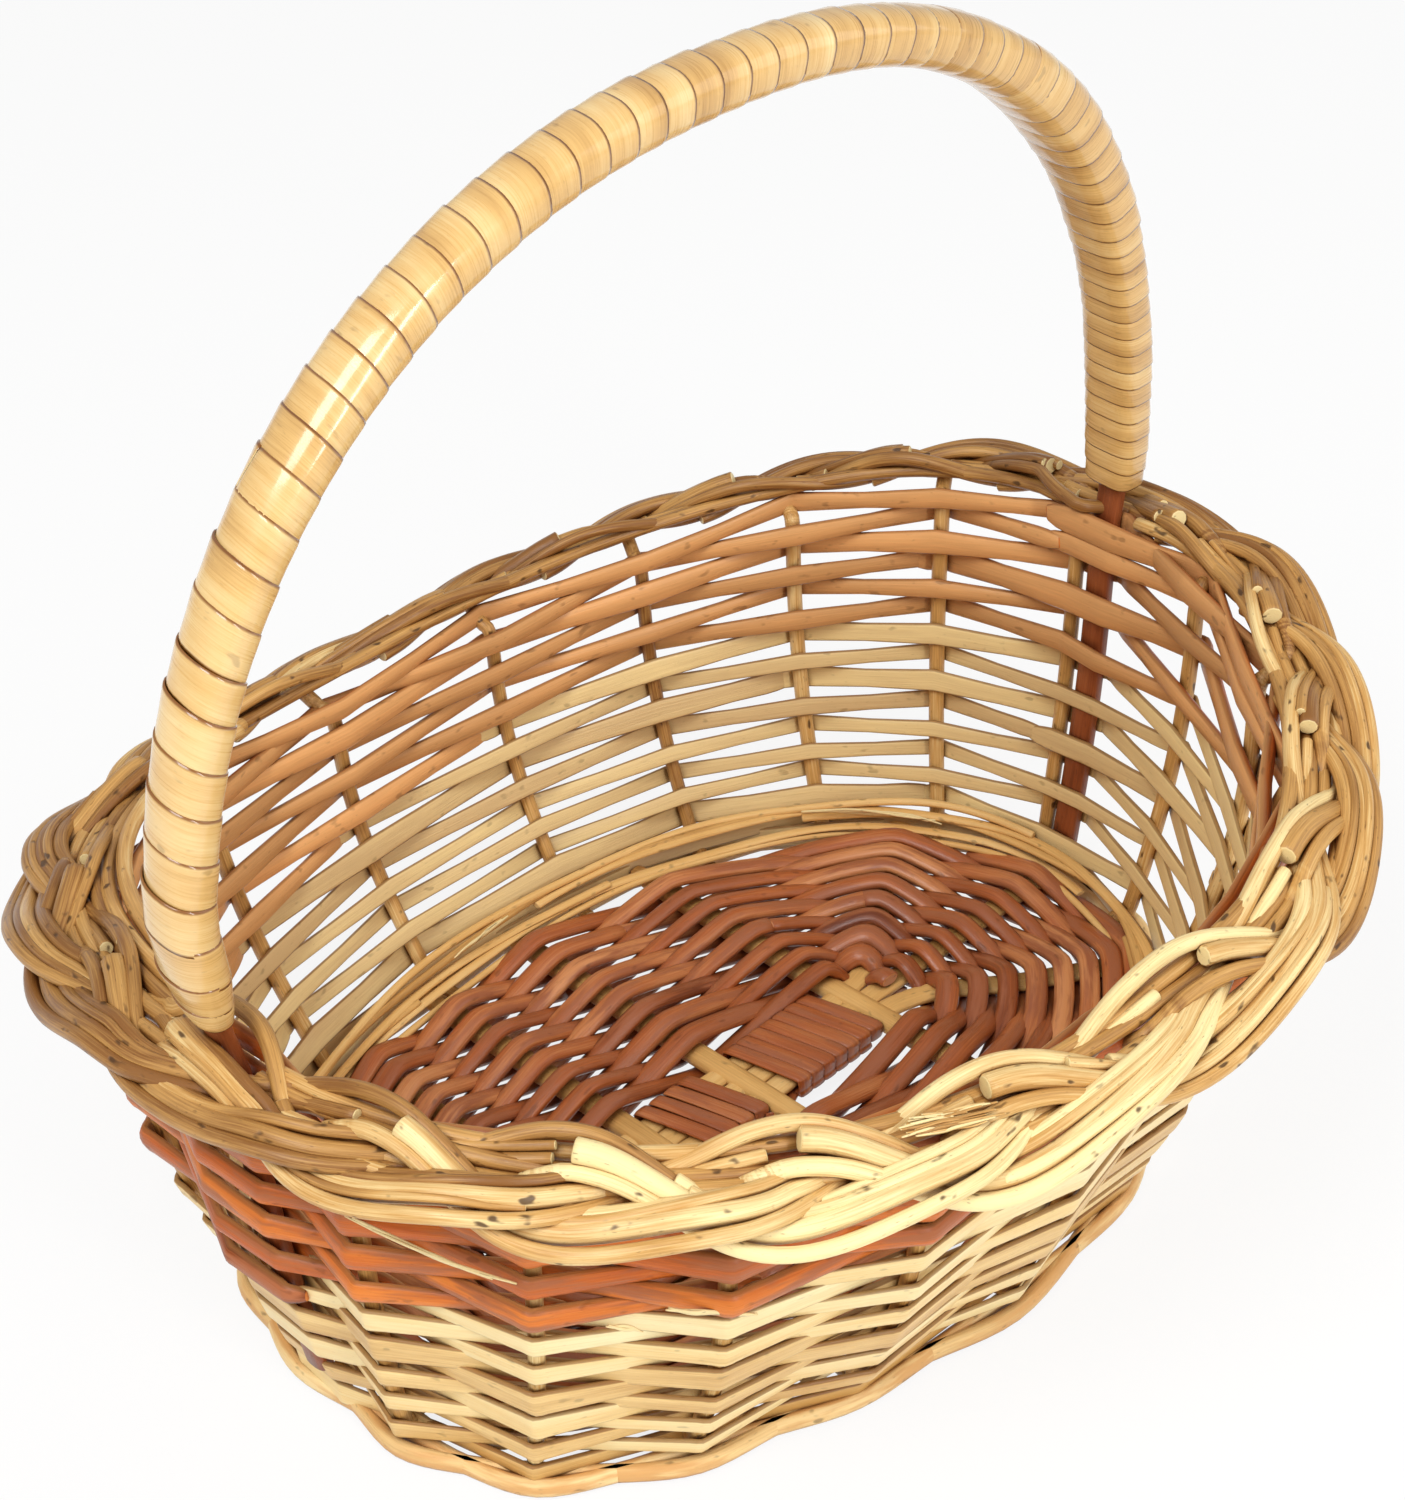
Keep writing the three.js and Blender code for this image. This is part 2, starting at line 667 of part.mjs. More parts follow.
// Cross stick: a stick along Y, split in the middle for the long sticks.
function crossStick(x) {
  const ends = arms.filter((arm) => arm.start[0] === x && arm.halfHeight === crossHalfHeight).map(armEnd);
  ends.sort((a, b) => a.y - b.y);
  const path = [ends[0], new THREE.Vector3(x, -slathHalfWidth, baseLevel)];
  path.push(new THREE.Vector3(x, slathHalfWidth, baseLevel), ends[1]);
  const full = roundSection(crossHalfWidth, crossHalfHeight, coreSides, 3);
  const tip = roundSection(0.7 * crossHalfWidth, crossHalfHeight, coreSides, 3);
  const stick = sweep(path, path.map(() => UP), (i) => (i % 3 === 0 ? tip : full));
  const slit = new THREE.BoxGeometry(4 * crossHalfWidth, 2 * (slathHalfWidth + fit), 2 * (longHalfHeight + fit));
  slit.translate(x, 0, baseLevel);
  return cut(stick, closedBox(slit));
}

// A box with its corners shared by its faces.
function closedBox(box) {
  box.computeBoundingBox();
  const { min, max } = box.boundingBox;
  const path = [new THREE.Vector3(min.x, (min.y + max.y) / 2, (min.z + max.z) / 2)];
  path.push(path[0].clone().setX(max.x));
  return sweep(path, [UP, UP], same(boxSection(max.y - min.y, max.z - min.z)));
}

for (const [i, x] of crossPlaces.entries()) add(`base_cross_stick_${i + 1}`, crossStick(x), stickFinish);

function longStick(number) {
  const lane = (number - (longCount - 1) / 2) * longPitch;
  const ends = arms.filter((arm) => arm.halfHeight === longHalfHeight && arm.start[1] === lane);
  ends.sort((a, b) => a.start[0] - b.start[0]);
  const bends = ends.map((arm) => new THREE.Vector3(arm.start[0], lane, baseLevel));
  const path = [armEnd(ends[0]), bends[0], bends[1], armEnd(ends[1])];
  return sweep(path, path.map(() => UP), same(roundSection(longHalfWidth, longHalfHeight, coreSides, 4)));
}

for (let i = 0; i < longCount; i++) add(`base_long_stick_${i + 1}`, longStick(i), stickFinish);

// Weavers of the base: two rods that chase each other, each over the arms that the other goes under.
// Near the slath the long sticks of one end are passed as one. The rods start on the first cross stick.
function baseWeaver(name, offset) {
  const path = [];
  const count = arms.length;
  const steps = Math.round(baseLaps * count);
  const shareAt = (i) => (2 * i / count + offset) / (2 * baseLaps + 1);
  const crossing = (i) => armPoint(arms[i % count], shareAt(i));
  const first = arms.findIndex((arm) => arm.halfHeight === crossHalfHeight);
  for (let i = first; i <= steps; i++) {
    const arm = arms[i % count];
    const point = crossing(i);
    const ahead = crossing(i + 1).sub(point);
    const grouped = arm.middle && ahead.length() < groupSpacing;
    if (!grouped) {
      const along = crossing(i + 1).sub(crossing(i - 1)).normalize();
      const slant = Math.abs(along.x * arm.direction[1] - along.y * arm.direction[0]);
      const over = (i + offset) % 2 === 0 ? 1 : -1;
      point.z += over * (arm.halfHeight + fit + baseRodRadius);
      along.multiplyScalar((arm.halfWidth + edgeSlack) / slant);
      path.push(point.clone().sub(along), point.clone().add(along));
    }
    const atCorner = arm.halfHeight !== arms[(i + 1) % count].halfHeight;
    if (atCorner && i < steps) {
      const oval = baseOval(shareAt(i + 0.5));
      const middle = point.clone().addScaledVector(ahead, 0.5);
      const direction = [middle.x - oval.middle, middle.y];
      const distance = meet([oval.middle, 0], direction, oval);
      path.push(new THREE.Vector3(oval.middle + distance * direction[0], distance * direction[1], baseLevel));
    }
  }
  const rod = same(roundSection(baseRodRadius, baseRodRadius, rodSides));
  add(name, sweep(path, path.map(() => UP), rod), brownFinish);
}

baseWeaver('base_weaver_a', 0);
baseWeaver('base_weaver_b', 1);

// Binding of the long sticks: turns in each bay between cross sticks, and a slanting pass over each.
function binding() {
  const half = slathHalfWidth + bindingReach;
  const low = longHalfHeight + bindingReach;
  const high = crossHalfHeight + bindingReach;
  const corner = 0.6 * bindingThickness;
  const path = [];
  const hints = [];
  const put = (x, y, z, hintY, hintZ) => {
    path.push(new THREE.Vector3(x, y, baseLevel + z));
    hints.push(new THREE.Vector3(0, hintY, hintZ).normalize());
  };
  const places = [];
  for (let bay = 0; bay < crossPlaces.length - 1; bay++) {
    const from = crossPlaces[bay] + crossHalfWidth + bindingWidth / 2 + 2 * fit;
    const to = crossPlaces[bay + 1] - crossHalfWidth - bindingWidth / 2 - 2 * fit;
    for (let i = 0; i < bindingTurns; i++) {
      places.push({ x: lerp(from, to, i / (bindingTurns - 1)), cross: i === bindingTurns - 1 ? bay + 1 : 0 });
    }
  }
  for (const [i, { x, cross }] of places.entries()) {
    put(x, corner - half, -low, -0.4, -1);
    put(x, half - corner, -low, 0.4, -1);
    put(x, half, corner - low, 1, -0.4);
    if (i === places.length - 1) break;
    const next = places[i + 1].x;
    put(x, half, low - corner, 1, 0.4);
    put(x, half - corner, low, 0.4, 1);
    if (cross > 0) {
      for (const side of [-1, 1]) {
        const edge = crossPlaces[cross] + side * (crossHalfWidth + fit);
        put(edge, lerp(half, -half, (edge - x) / (next - x)), high, 0, 1);
      }
    }
    put(next, corner - half, low, -0.4, 1);
    put(next, -half, low - corner, -1, 0.4);
    put(next, -half, corner - low, -1, -0.4);
  }
  const edges = path.map(() => new THREE.Vector3(bindingWidth / 2, 0, 0));
  const gap = leastTurnGap(path, edges, coreSides);
  console.log(`spine_wrap: ${places.length} turns, least gap ${gap.toFixed(2)} mm`);
  return sweep(path, hints, same(boxSection(bindingWidth, bindingThickness)));
}

add('spine_wrap', binding(), brownFinish);

export default group;
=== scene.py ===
"""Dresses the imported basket: finer rods, strips and wrapping over the CAD solids, with wood materials."""

import math
import random

import bpy
import numpy as np
from mathutils import Matrix, Vector


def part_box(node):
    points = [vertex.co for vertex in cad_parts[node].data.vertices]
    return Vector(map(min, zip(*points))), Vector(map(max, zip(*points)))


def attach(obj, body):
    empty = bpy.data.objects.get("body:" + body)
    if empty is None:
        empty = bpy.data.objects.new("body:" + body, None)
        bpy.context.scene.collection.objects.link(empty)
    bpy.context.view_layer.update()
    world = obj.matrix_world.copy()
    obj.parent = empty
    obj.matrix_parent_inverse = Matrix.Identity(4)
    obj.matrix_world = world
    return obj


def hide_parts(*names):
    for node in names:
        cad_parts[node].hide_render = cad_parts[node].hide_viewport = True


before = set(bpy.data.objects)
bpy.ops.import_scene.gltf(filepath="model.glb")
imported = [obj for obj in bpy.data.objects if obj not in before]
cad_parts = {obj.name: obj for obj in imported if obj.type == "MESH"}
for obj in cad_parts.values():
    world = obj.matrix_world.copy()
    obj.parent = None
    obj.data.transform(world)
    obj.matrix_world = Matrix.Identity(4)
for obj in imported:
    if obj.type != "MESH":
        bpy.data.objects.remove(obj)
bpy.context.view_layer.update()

MM = 0.001
TAU = 2 * math.pi
UP = np.array([0.0, 0.0, 1.0])
SIDE = np.array([0.0, 1.0, 0.0])

# All sizes are in millimetres. These are the CAD model's.
OVAL_POWER = 2.15
RIM = (128.5, 106.6)
FOOT = (119.5, 83.5)
WALL_BULGE = 0.28
BORDER = (138.65, 116.75)
BORDER_HEIGHT, BORDER_SADDLE, BORDER_LEAN = 95.2, 9.0, 6.9
STAKES = 19
UNIT = TAU / STAKES
STAKE_HALF, STAKE_GAP = 2.0, 0.6
TONGUE_LEVEL = 6.0
BASE_LEVEL = 6.8
PLAIT_RISE = 6.4
PLAIT_ROD = 1.9
PLAIT_SLOPE = 0.42
ROD_SPACING = 4.3
FIT = 0.3
LEG_INSET = 7.9
LEG_HALF_WIDTH, LEG_HALF_THICKNESS = 3.4, 2.0
LEG_FOOT_LEVEL = 14.0
CORE_HALF = (4.4, 6.1)
SHOULDER = 5.0
CROSS_PLACES = (-50.5, -24.0, 5.0, 44.0)

# The bow's left and right half follow the photo, 1 to 3 mm off the even bow of the CAD model.
BOW_HALF_SPANS, BOW_TOP, BOW_POWERS = (137.2, 132.4), 253.2, (2.17, 2.35)

# Where the real basket is out of true: place and width in degrees, and size.
BORDER_SWELLS = ((131, 27, 8.2), (290, 14, 3.8), (325, 9, -1.5), (350, 11, 0.8), (22, 20, 4.6), (62, 24, 2.7))
WALL_SWELLS = ((155, 18, 4.0), (270, 14, -1.5))
FOOT_SWELLS = ((273, 15, 2.5), (250, 13, -1.0), (214, 16, 2.5), (178, 14, -3.0))
WALL_FOLLOWS = 0.85


# Curves and surfaces. Angles run round the basket from +X.

def unit(v):
    return v / np.maximum(np.linalg.norm(v, axis=-1, keepdims=True), 1e-9)


def settle(value):
    """Smooth step from 0 to 1."""
    value = np.clip(value, 0, 1)
    return value * value * (3 - 2 * value)


def spow(value, power):
    return np.sign(value) * np.abs(value) ** power


def aside(degrees, place):
    """Angle from a place round the basket, from -180 to 180 degrees."""
    return (degrees - place + 180) % 360 - 180


def oval(a, b, t, power=OVAL_POWER):
    x = a * spow(np.cos(t), 2 / power)
    y = b * spow(np.sin(t), 2 / power)
    return np.stack([x, y, np.zeros_like(x)], -1)


def oval_normal(a, b, t):
    p = oval(1, 1, t)
    n = np.stack([spow(p[..., 0], OVAL_POWER - 1) / a, spow(p[..., 1], OVAL_POWER - 1) / b,
                  np.zeros_like(p[..., 0])], -1)
    return unit(n)


def swell(t, places):
    return sum(size * np.exp(-(aside(np.degrees(t), place) / width) ** 2) for place, width, size in places)


def border_level(p):
    u, v = p[..., 0] / BORDER[0], p[..., 1] / BORDER[1]
    return BORDER_HEIGHT + BORDER_SADDLE * (u * u - v * v) - BORDER_LEAN * v


def wall_top(t):
    return border_level(oval(*BORDER, t)) + PLAIT_SLOPE * ROD_SPACING - PLAIT_RISE - PLAIT_ROD - FIT


def wall_point(t, z):
    t, z = np.broadcast_arrays(t, z)
    rise = np.clip((z - TONGUE_LEVEL) / (wall_top(t) - TONGUE_LEVEL), 0, 1)
    share = rise + WALL_BULGE * np.sin(np.pi * rise)
    swollen = WALL_FOLLOWS * swell(t, BORDER_SWELLS) * rise ** 2 + swell(t, FOOT_SWELLS) * (1 - rise) ** 3
    swollen = swollen + swell(t, WALL_SWELLS) * np.sin(np.pi * rise)
    a = FOOT[0] + (RIM[0] - FOOT[0]) * share + swollen
    b = FOOT[1] + (RIM[1] - FOOT[1]) * share + swollen
    p = oval(a, b, t)
    p[..., 2] = z
    return p


def wall_frame(t, z):
    """Directions out of the wall and up it."""
    along = unit(wall_point(t + 0.01, z) - wall_point(t - 0.01, z))
    rise = wall_point(t, z + 1) - wall_point(t, z - 1)
    out = unit(np.cross(along, rise))
    return out, unit(np.cross(out, along))


def angle_aside(distance):
    """Angle from the +X end at which the wall is a distance to the side, at the level of the legs' feet."""
    rise = (LEG_FOOT_LEVEL - TONGUE_LEVEL) / (wall_top(0.0) - TONGUE_LEVEL)
    share = rise + WALL_BULGE * math.sin(math.pi * rise)
    half_width = FOOT[1] + (RIM[1] - FOOT[1]) * share
    return math.asin((distance / half_width) ** (OVAL_POWER / 2))


# The first stake stands beside the leg at +X. The legs' places are counted in stakes.
PHASE = angle_aside(LEG_HALF_WIDTH + STAKE_HALF + STAKE_GAP)
LEG_EDGE = angle_aside(LEG_HALF_WIDTH + FIT)
LEG_PLACES = [(angle - PHASE) / UNIT for angle in (0, math.pi, TAU)]


def stake_angle(k):
    return PHASE + k * UNIT


def smooth(points, steps):
    """Catmull-Rom curve through points, with a number of steps in each stretch."""
    p = np.asarray(points, float)
    p = np.vstack([2 * p[0] - p[1], p, 2 * p[-1] - p[-2]])
    s = np.linspace(0, 1, steps, endpoint=False)[:, None]
    out = []
    for a, b, c, d in zip(p, p[1:], p[2:], p[3:]):
        out.append(0.5 * (2 * b + (c - a) * s + (2 * a - 5 * b + 4 * c - d) * s ** 2
                          + (3 * b - a - 3 * c + d) * s ** 3))
    out.append(p[-2][None])
    return np.vstack(out)


def softened(path, rounds):
    """Path whose bends are rounded by taking each point towards its neighbours, round by round."""
    path = path.copy()
    for _ in range(rounds):
        path[1:-1] = 0.25 * path[:-2] + 0.5 * path[1:-1] + 0.25 * path[2:]
    return path


def run_along(path):
    """Distance from the start of a path to each of its points."""
    return np.concatenate([[0], np.cumsum(np.linalg.norm(np.diff(path, axis=0), axis=1))])


def carried(path, first):
    """Directions carried along a path without twist."""
    tangent = unit(np.gradient(path, axis=0))
    hint = np.asarray(first, float)
    out = []
    for t in tangent:
        hint = hint - t * np.dot(hint, t)
        hint = hint / max(np.linalg.norm(hint), 1e-9)
        out.append(hint)
    return np.array(out)


# Sections and swept pieces.

def ring_section(sides, power=2.0):
    a = TAU * (np.arange(sides) + 0.5) / sides
    return np.stack([spow(np.cos(a), 2 / power), spow(np.sin(a), 2 / power)], -1)


def half_round():
    """A split rod: round on the outer side (+ across) and nearly flat on the inner."""
    a = np.linspace(-math.pi / 2, math.pi / 2, 8)
    bow = np.stack([np.cos(a) * 1.25 - 0.25, np.sin(a)], -1)
    return np.vstack([bow, [(-0.62, 0.82), (-0.7, 0.0), (-0.62, -0.82)]])


ROUND = ring_section(10)
FLAT_STRIP = ring_section(12, 5.0)
HALF_ROUND = half_round()
# Bevel of cut ends, and what the attribute side holds where wood is cut or torn.
BEVEL, BEVEL_SHARE = 0.3, 0.82
CUT_MARK = 6.0
# Shift of the grain from rod to rod.
GRAIN_SHIFT, GRAIN_CYCLE = 977.0, 53


def doubled_ends(values, factor=1.0):
    return np.concatenate([values[:1] * factor, values, values[-1:] * factor])


def add_object(name, data):
    made = bpy.data.objects.new(name, data)
    bpy.context.scene.collection.objects.link(made)
    return made


class Bundle:
    """Several swept rods that make one piece."""

    def __init__(self, name):
        self.name = name
        self.points, self.faces = [], []
        self.rod, self.tint, self.face_side, self.edge = [], [], [], []

    def sweep(self, path, hints, across, along, section, tint=0.5, out=None, torn=False):
        """across and along are half sizes at each point, along the hint being the second."""
        hints = np.broadcast_to(hints, path.shape)
        n, sides = len(path), len(section)
        across, along, tint = (doubled_ends(np.broadcast_to(value, n), share) for value, share
                               in ((across, BEVEL_SHARE), (along, BEVEL_SHARE), (tint, 1)))
        tangent = unit(np.gradient(path, axis=0))
        path = np.vstack([path[0] - BEVEL * tangent[0], path, path[-1] + BEVEL * tangent[-1]])
        tangent, hints = doubled_ends(tangent), doubled_ends(hints)
        n += 2
        a = unit(np.cross(tangent, hints))
        b = unit(np.cross(a, tangent))
        offset_a = across[:, None] * section[:, 0]
        offset_b = along[:, None] * section[:, 1]
        rings = path[:, None] + a[:, None] * offset_a[..., None] + b[:, None] * offset_b[..., None]
        run = run_along(path) + GRAIN_SHIFT * (len(self.points) % GRAIN_CYCLE)
        rod = np.stack([np.broadcast_to(run[:, None], (n, sides)), offset_a, offset_b], -1)
        side = np.zeros((n, sides))
        if out is not None:
            middle = rings.mean(1, keepdims=True)
            side = np.sum(unit(rings - middle) * doubled_ends(out)[:, None], -1)
        side[[0, -1]] = CUT_MARK
        if torn:
            side[:] = CUT_MARK
        edge = section[:, 0] if across.mean() > along.mean() else section[:, 1]
        base = sum(map(len, self.points))
        self.points.append(rings.reshape(-1, 3))
        self.rod.append(rod.reshape(-1, 3))
        self.tint.append(np.repeat(tint, sides))
        self.face_side.append(side.reshape(-1))
        self.edge.append(np.tile(edge, n))
        index = base + np.arange(n * sides).reshape(n, sides)
        following = np.roll(index, -1, 1)
        quads = np.stack([index[:-1], following[:-1], following[1:], index[1:]], -1).reshape(-1, 4)
        self.faces.extend(quads[:, ::-1].tolist())
        self.faces += [index[0].tolist(), index[-1][::-1].tolist()]

    def build(self, finish, slot, replaced=()):
        mesh = bpy.data.meshes.new(self.name)
        mesh.from_pydata((np.vstack(self.points) * MM).tolist(), [], self.faces)
        mesh.update()
        mesh.polygons.foreach_set("use_smooth", [len(face) == 4 for face in self.faces])
        rod = mesh.attributes.new("rod", "FLOAT_VECTOR", "POINT")
        rod.data.foreach_set("vector", (np.vstack(self.rod) * MM).astype(np.float32).ravel())
        for name, values in (("tint", self.tint), ("side", self.face_side), ("edge", self.edge)):
            layer = mesh.attributes.new(name, "FLOAT", "POINT")
            layer.data.foreach_set("value", np.concatenate(values).astype(np.float32))
        mesh.materials.append(finish)
        piece = add_object(self.name, mesh)
        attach(piece, "root")
        if replaced:
            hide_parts(*replaced)


# Materials.

class Nodes:
    """Short names for making the nodes of a material or world."""

    def __init__(self, owner):
        self.owner = owner
        owner.use_nodes = True
        self.tree = owner.node_tree
        self.shader = self.tree.nodes.get("Principled BSDF")

    def node(self, kind, inputs=(), **settings):
        made = self.tree.nodes.new(kind)
        for key, value in settings.items():
            setattr(made, key, value)
        self.fill(made, inputs)
        return made

    def fill(self, node, inputs):
        """Gives inputs of a node a value or links them to another node's socket."""
        for key, value in dict(inputs).items():
            if isinstance(value, bpy.types.NodeSocket):
                self.tree.links.new(value, node.inputs[key])
            else:
                node.inputs[key].default_value = value

    def attribute(self, name, output):
        return self.node("ShaderNodeAttribute", attribute_name=name).outputs[output]

    def math(self, operation, a, b=0.0, clamp=False):
        return self.node("ShaderNodeMath", {0: a, 1: b}, operation=operation, use_clamp=clamp).outputs[0]

    def centred(self, value, size):
        """A noise value taken about its middle, times a size."""
        return self.math("MULTIPLY", self.math("SUBTRACT", value, 0.5), size)

    def seen_by(self, *rays):
        sockets = self.node("ShaderNodeLightPath").outputs
        seen = sockets[f"Is {rays[0]} Ray"]
        for ray in rays[1:]:
            seen = self.math("MAXIMUM", seen, sockets[f"Is {ray} Ray"])
        return seen

    def noise(self, vector, factors, shift, detail, rough):
        """Noise over a vector that is stretched and shifted."""
        stretched = self.node("ShaderNodeVectorMath", {0: vector, 1: factors}, operation="MULTIPLY")
        moved = self.node("ShaderNodeVectorMath", {0: stretched.outputs[0], 1: shift}, operation="ADD")
        settings = {"Vector": moved.outputs[0], "Scale": 1.0, "Detail": detail, "Roughness": rough}
        return self.node("ShaderNodeTexNoise", settings).outputs["Fac"]

    def ramp(self, value, stops):
        n = self.node("ShaderNodeValToRGB", {0: value})
        elements = n.color_ramp.elements
        while len(elements) < len(stops):
            elements.new(0.5)
        for element, (place, colour) in zip(elements, stops):
            element.position = place
            element.color = (*colour, 1.0)
        return n.outputs[0]

    def between(self, value, low, high):
        inputs = {0: value, 1: low, 2: high}
        return self.node("ShaderNodeMapRange", inputs, interpolation_type="SMOOTHSTEP").outputs[0]

    def mix(self, share, a, b, blend="MIX"):
        a, b = ((*colour, 1.0) if isinstance(colour, tuple) else colour for colour in (a, b))
        return self.node("ShaderNodeMix", {0: share, 6: a, 7: b}, data_type="RGBA", blend_type=blend).outputs[2]


def srgb(*levels):
    return tuple(((level / 255 + 0.055) / 1.055) ** 2.4 for level in levels)


def times(colour, factor):
    return tuple(min(factor * c, 1) for c in colour)


# Scale of each pattern along and across a rod, per metre.
STREAKS, FIBRES, BLOTCHES = (70, 2600, 2600), (160, 7000, 7000), (28, 160, 160)
PATCHES, SCARS, TICKS = (45, 330, 330), (210, 420, 420), (500, 2200, 2200)
# Shift of the patterns with a rod's tint.
PATTERN_SHIFT = 37.0
# What darkens the rims of strips, the colour of the painted shade in the grooves between rods, and how far a groove
# reaches.
SEAM, PAINTED_GROOVE_SHADE = (0.34, 0.2, 0.09), (0.32, 0.18, 0.08)
GROOVE = 3.5 * MM
RELIEF = 0.4 * MM


def wood(name, dark, middle, light, inner=None, roughness=0.45, coat=0.0, speck=0.5, streak=0.35, bump=0.5, rim=0.0,
         mottle=None, specular=0.4, gloss=0.22):
    """Peeled or stained rod: colour by rod, blotches, long streaks, dark specks and leaf scars, with painted shade in
    the grooves between rods.
    """
    n = Nodes(bpy.data.materials.new(name))
    rod = n.attribute("rod", "Vector")
    tint = n.attribute("tint", "Fac")
    shift = n.math("MULTIPLY", tint, PATTERN_SHIFT)
    far = n.node("ShaderNodeCombineXYZ", {0: shift, 1: shift, 2: shift}).outputs[0]
    streaks = n.noise(rod, STREAKS, far, 4.0, 0.6)
    fine_fibres = n.noise(rod, FIBRES, far, 2.0, 0.6)
    blotch = n.noise(rod, BLOTCHES, far, 3.0, 0.5)
    level = n.math("ADD", tint, n.centred(streaks, streak * 2))
    level = n.math("ADD", level, n.centred(blotch, 1.1), clamp=True)
    colour = n.ramp(level, [(0.0, dark), (0.5, middle), (1.0, light)])
    if mottle is not None:
        patches = n.noise(rod, PATCHES, far, 3.0, 0.6)
        colour = n.mix(n.between(patches, 0.42, 0.62), colour, mottle)
    face = n.attribute("side", "Fac")
    if inner is not None:
        pale = n.ramp(level, [(0.0, times(inner, 0.72)), (1.0, times(inner, 1.18))])
        colour = n.mix(n.between(face, 0.25, -0.35), colour, pale)
    colour = n.mix(n.between(face, 2.0, 5.0), colour, times(light, 0.92))
    scars = n.noise(rod, SCARS, far, 1.5, 0.5)
    scarred = n.math("MULTIPLY", n.between(scars, 0.66, 0.76), speck)
    colour = n.mix(scarred, colour, times(dark, 0.28))
    ticks = n.noise(rod, TICKS, far, 1.0, 0.5)
    ticked = n.math("MULTIPLY", n.between(ticks, 0.69, 0.8), 0.55 * speck)
    colour = n.mix(ticked, colour, times(dark, 0.4))
    if rim:
        near_rim = n.between(n.math("ABSOLUTE", n.attribute("edge", "Fac")), 0.82, 0.94)
        rimmed = n.mix(1.0, colour, SEAM, "MULTIPLY")
        colour = n.mix(n.math("MULTIPLY", near_rim, rim), colour, rimmed)
    # Painted shade: where ambient occlusion finds a groove between rods, the colour is darkened as if in shadow.
    hollow = n.node("ShaderNodeAmbientOcclusion", {"Distance": GROOVE}, samples=4)
    groove_shaded = n.mix(1.0, colour, PAINTED_GROOVE_SHADE, "MULTIPLY")
    colour = n.mix(n.between(hollow.outputs["AO"], 0.62, 0.1), colour, groove_shaded)
    rough = n.math("ADD", n.centred(streaks, 0.35), roughness, clamp=True)
    height = n.math("ADD", n.math("MULTIPLY", streaks, 0.7), n.math("MULTIPLY", fine_fibres, 0.3))
    height = n.math("SUBTRACT", height, n.math("MULTIPLY", scarred, 0.8))
    relief = n.node("ShaderNodeBump", {"Strength": bump, "Distance": RELIEF, "Height": height})
    n.fill(n.shader, {"Base Color": colour, "Roughness": rough, "Normal": relief.outputs[0], "Coat Weight": coat,
                      "Coat Roughness": gloss, "Specular IOR Level": specular})
    return n.owner


plait_wood = wood("plait_wood", srgb(140, 92, 42), srgb(210, 160, 90), srgb(255, 232, 170), roughness=0.4,
                  coat=0.12, speck=0.9, streak=0.5)
cream_wood = wood("cream_wood", srgb(206, 158, 88), srgb(246, 212, 144), srgb(254, 238, 186), roughness=0.42,
                  coat=0.1, speck=0.35, inner=srgb(250, 212, 150), rim=0.8)
brown_wood = wood("brown_wood", srgb(122, 56, 20), srgb(206, 104, 38), srgb(232, 138, 60), roughness=0.36, coat=0.12,
                  speck=0.35, inner=srgb(230, 170, 108), mottle=srgb(178, 106, 66), rim=0.5, specular=0.2)
floor_wood = wood("floor_wood", srgb(112, 52, 22), srgb(178, 96, 46), srgb(216, 148, 94), roughness=0.34, coat=0.3,
                  speck=0.35, mottle=srgb(166, 98, 62))
foot_wood = wood("foot_wood", srgb(196, 146, 86), srgb(244, 208, 144), srgb(252, 228, 172), speck=0.6,
                 mottle=srgb(222, 170, 106))
core_wood = wood("core_wood", srgb(92, 42, 18), srgb(150, 78, 38), srgb(186, 108, 58), roughness=0.4, coat=0.15)
cane = wood("cane", srgb(160, 110, 52), srgb(224, 180, 110), srgb(250, 224, 164), roughness=0.3, coat=0.9,
            speck=0.3, streak=0.28, bump=0.1, rim=1.0, gloss=0.13)
stick_wood = wood("stick_wood", srgb(184, 134, 70), srgb(232, 184, 110), srgb(248, 212, 146), roughness=0.5)

rng = random.Random(20)


def tinted(middle, spread):
    return min(max(rng.gauss(middle, spread), 0.05), 0.95)


# Plait. A strand is a stake's end with its liners. Its age is counted in stakes passed, and in PERIOD of them it
# swings out and back, on a border that slopes down outwards like a collar.

SPREAD = 6.2
SPACING = 3.5
RISE = 2.7
HOLD, INNER_HOLD = 1.15, 0.4
PERIOD = 3
LEG_REACH = 4.0 * (LEG_HALF_WIDTH + PLAIT_ROD)
LEG_AGE = 0.22
# Tint of the border's rods, and place and width in degrees of the parts where painted light makes the rods lighter,
# on the near and right sides where the lamps fall, and how much lighter they are.
BORDER_SHADE, NEAR_PAINTED_LIGHT, RIGHT_PAINTED_LIGHT = 0.13, (248, 38, 0.9), (322, 40, 0.16)


def strand_swing(age):
    """Place across the plait, from -1 inside to 1 outside, held for longer at the inner edge."""
    turn = math.cos(TAU * age / PERIOD)
    most = HOLD + math.copysign(INNER_HOLD, turn)
    return -math.tanh((HOLD + INNER_HOLD * turn) * turn) / math.tanh(most)


def border_swell(t, p):
    """Swelling of the border, which fades out at the legs."""
    return swell(t, BORDER_SWELLS) * np.minimum((p[..., 1] / LEG_REACH) ** 2, 1)


def border_point(t, out, lift, swollen=True):
    """Point at a distance out from the border's middle line, on the slope that falls outwards."""
    out = np.asarray(out, float)
    middle, normal = oval(*BORDER, t), oval_normal(*BORDER, t)
    p = middle + normal * out[..., None]
    level = border_level(p) + lift - PLAIT_SLOPE * out
    if swollen:
        p = p + normal * border_swell(t, middle)[..., None]
    p[..., 2] = level
    return p


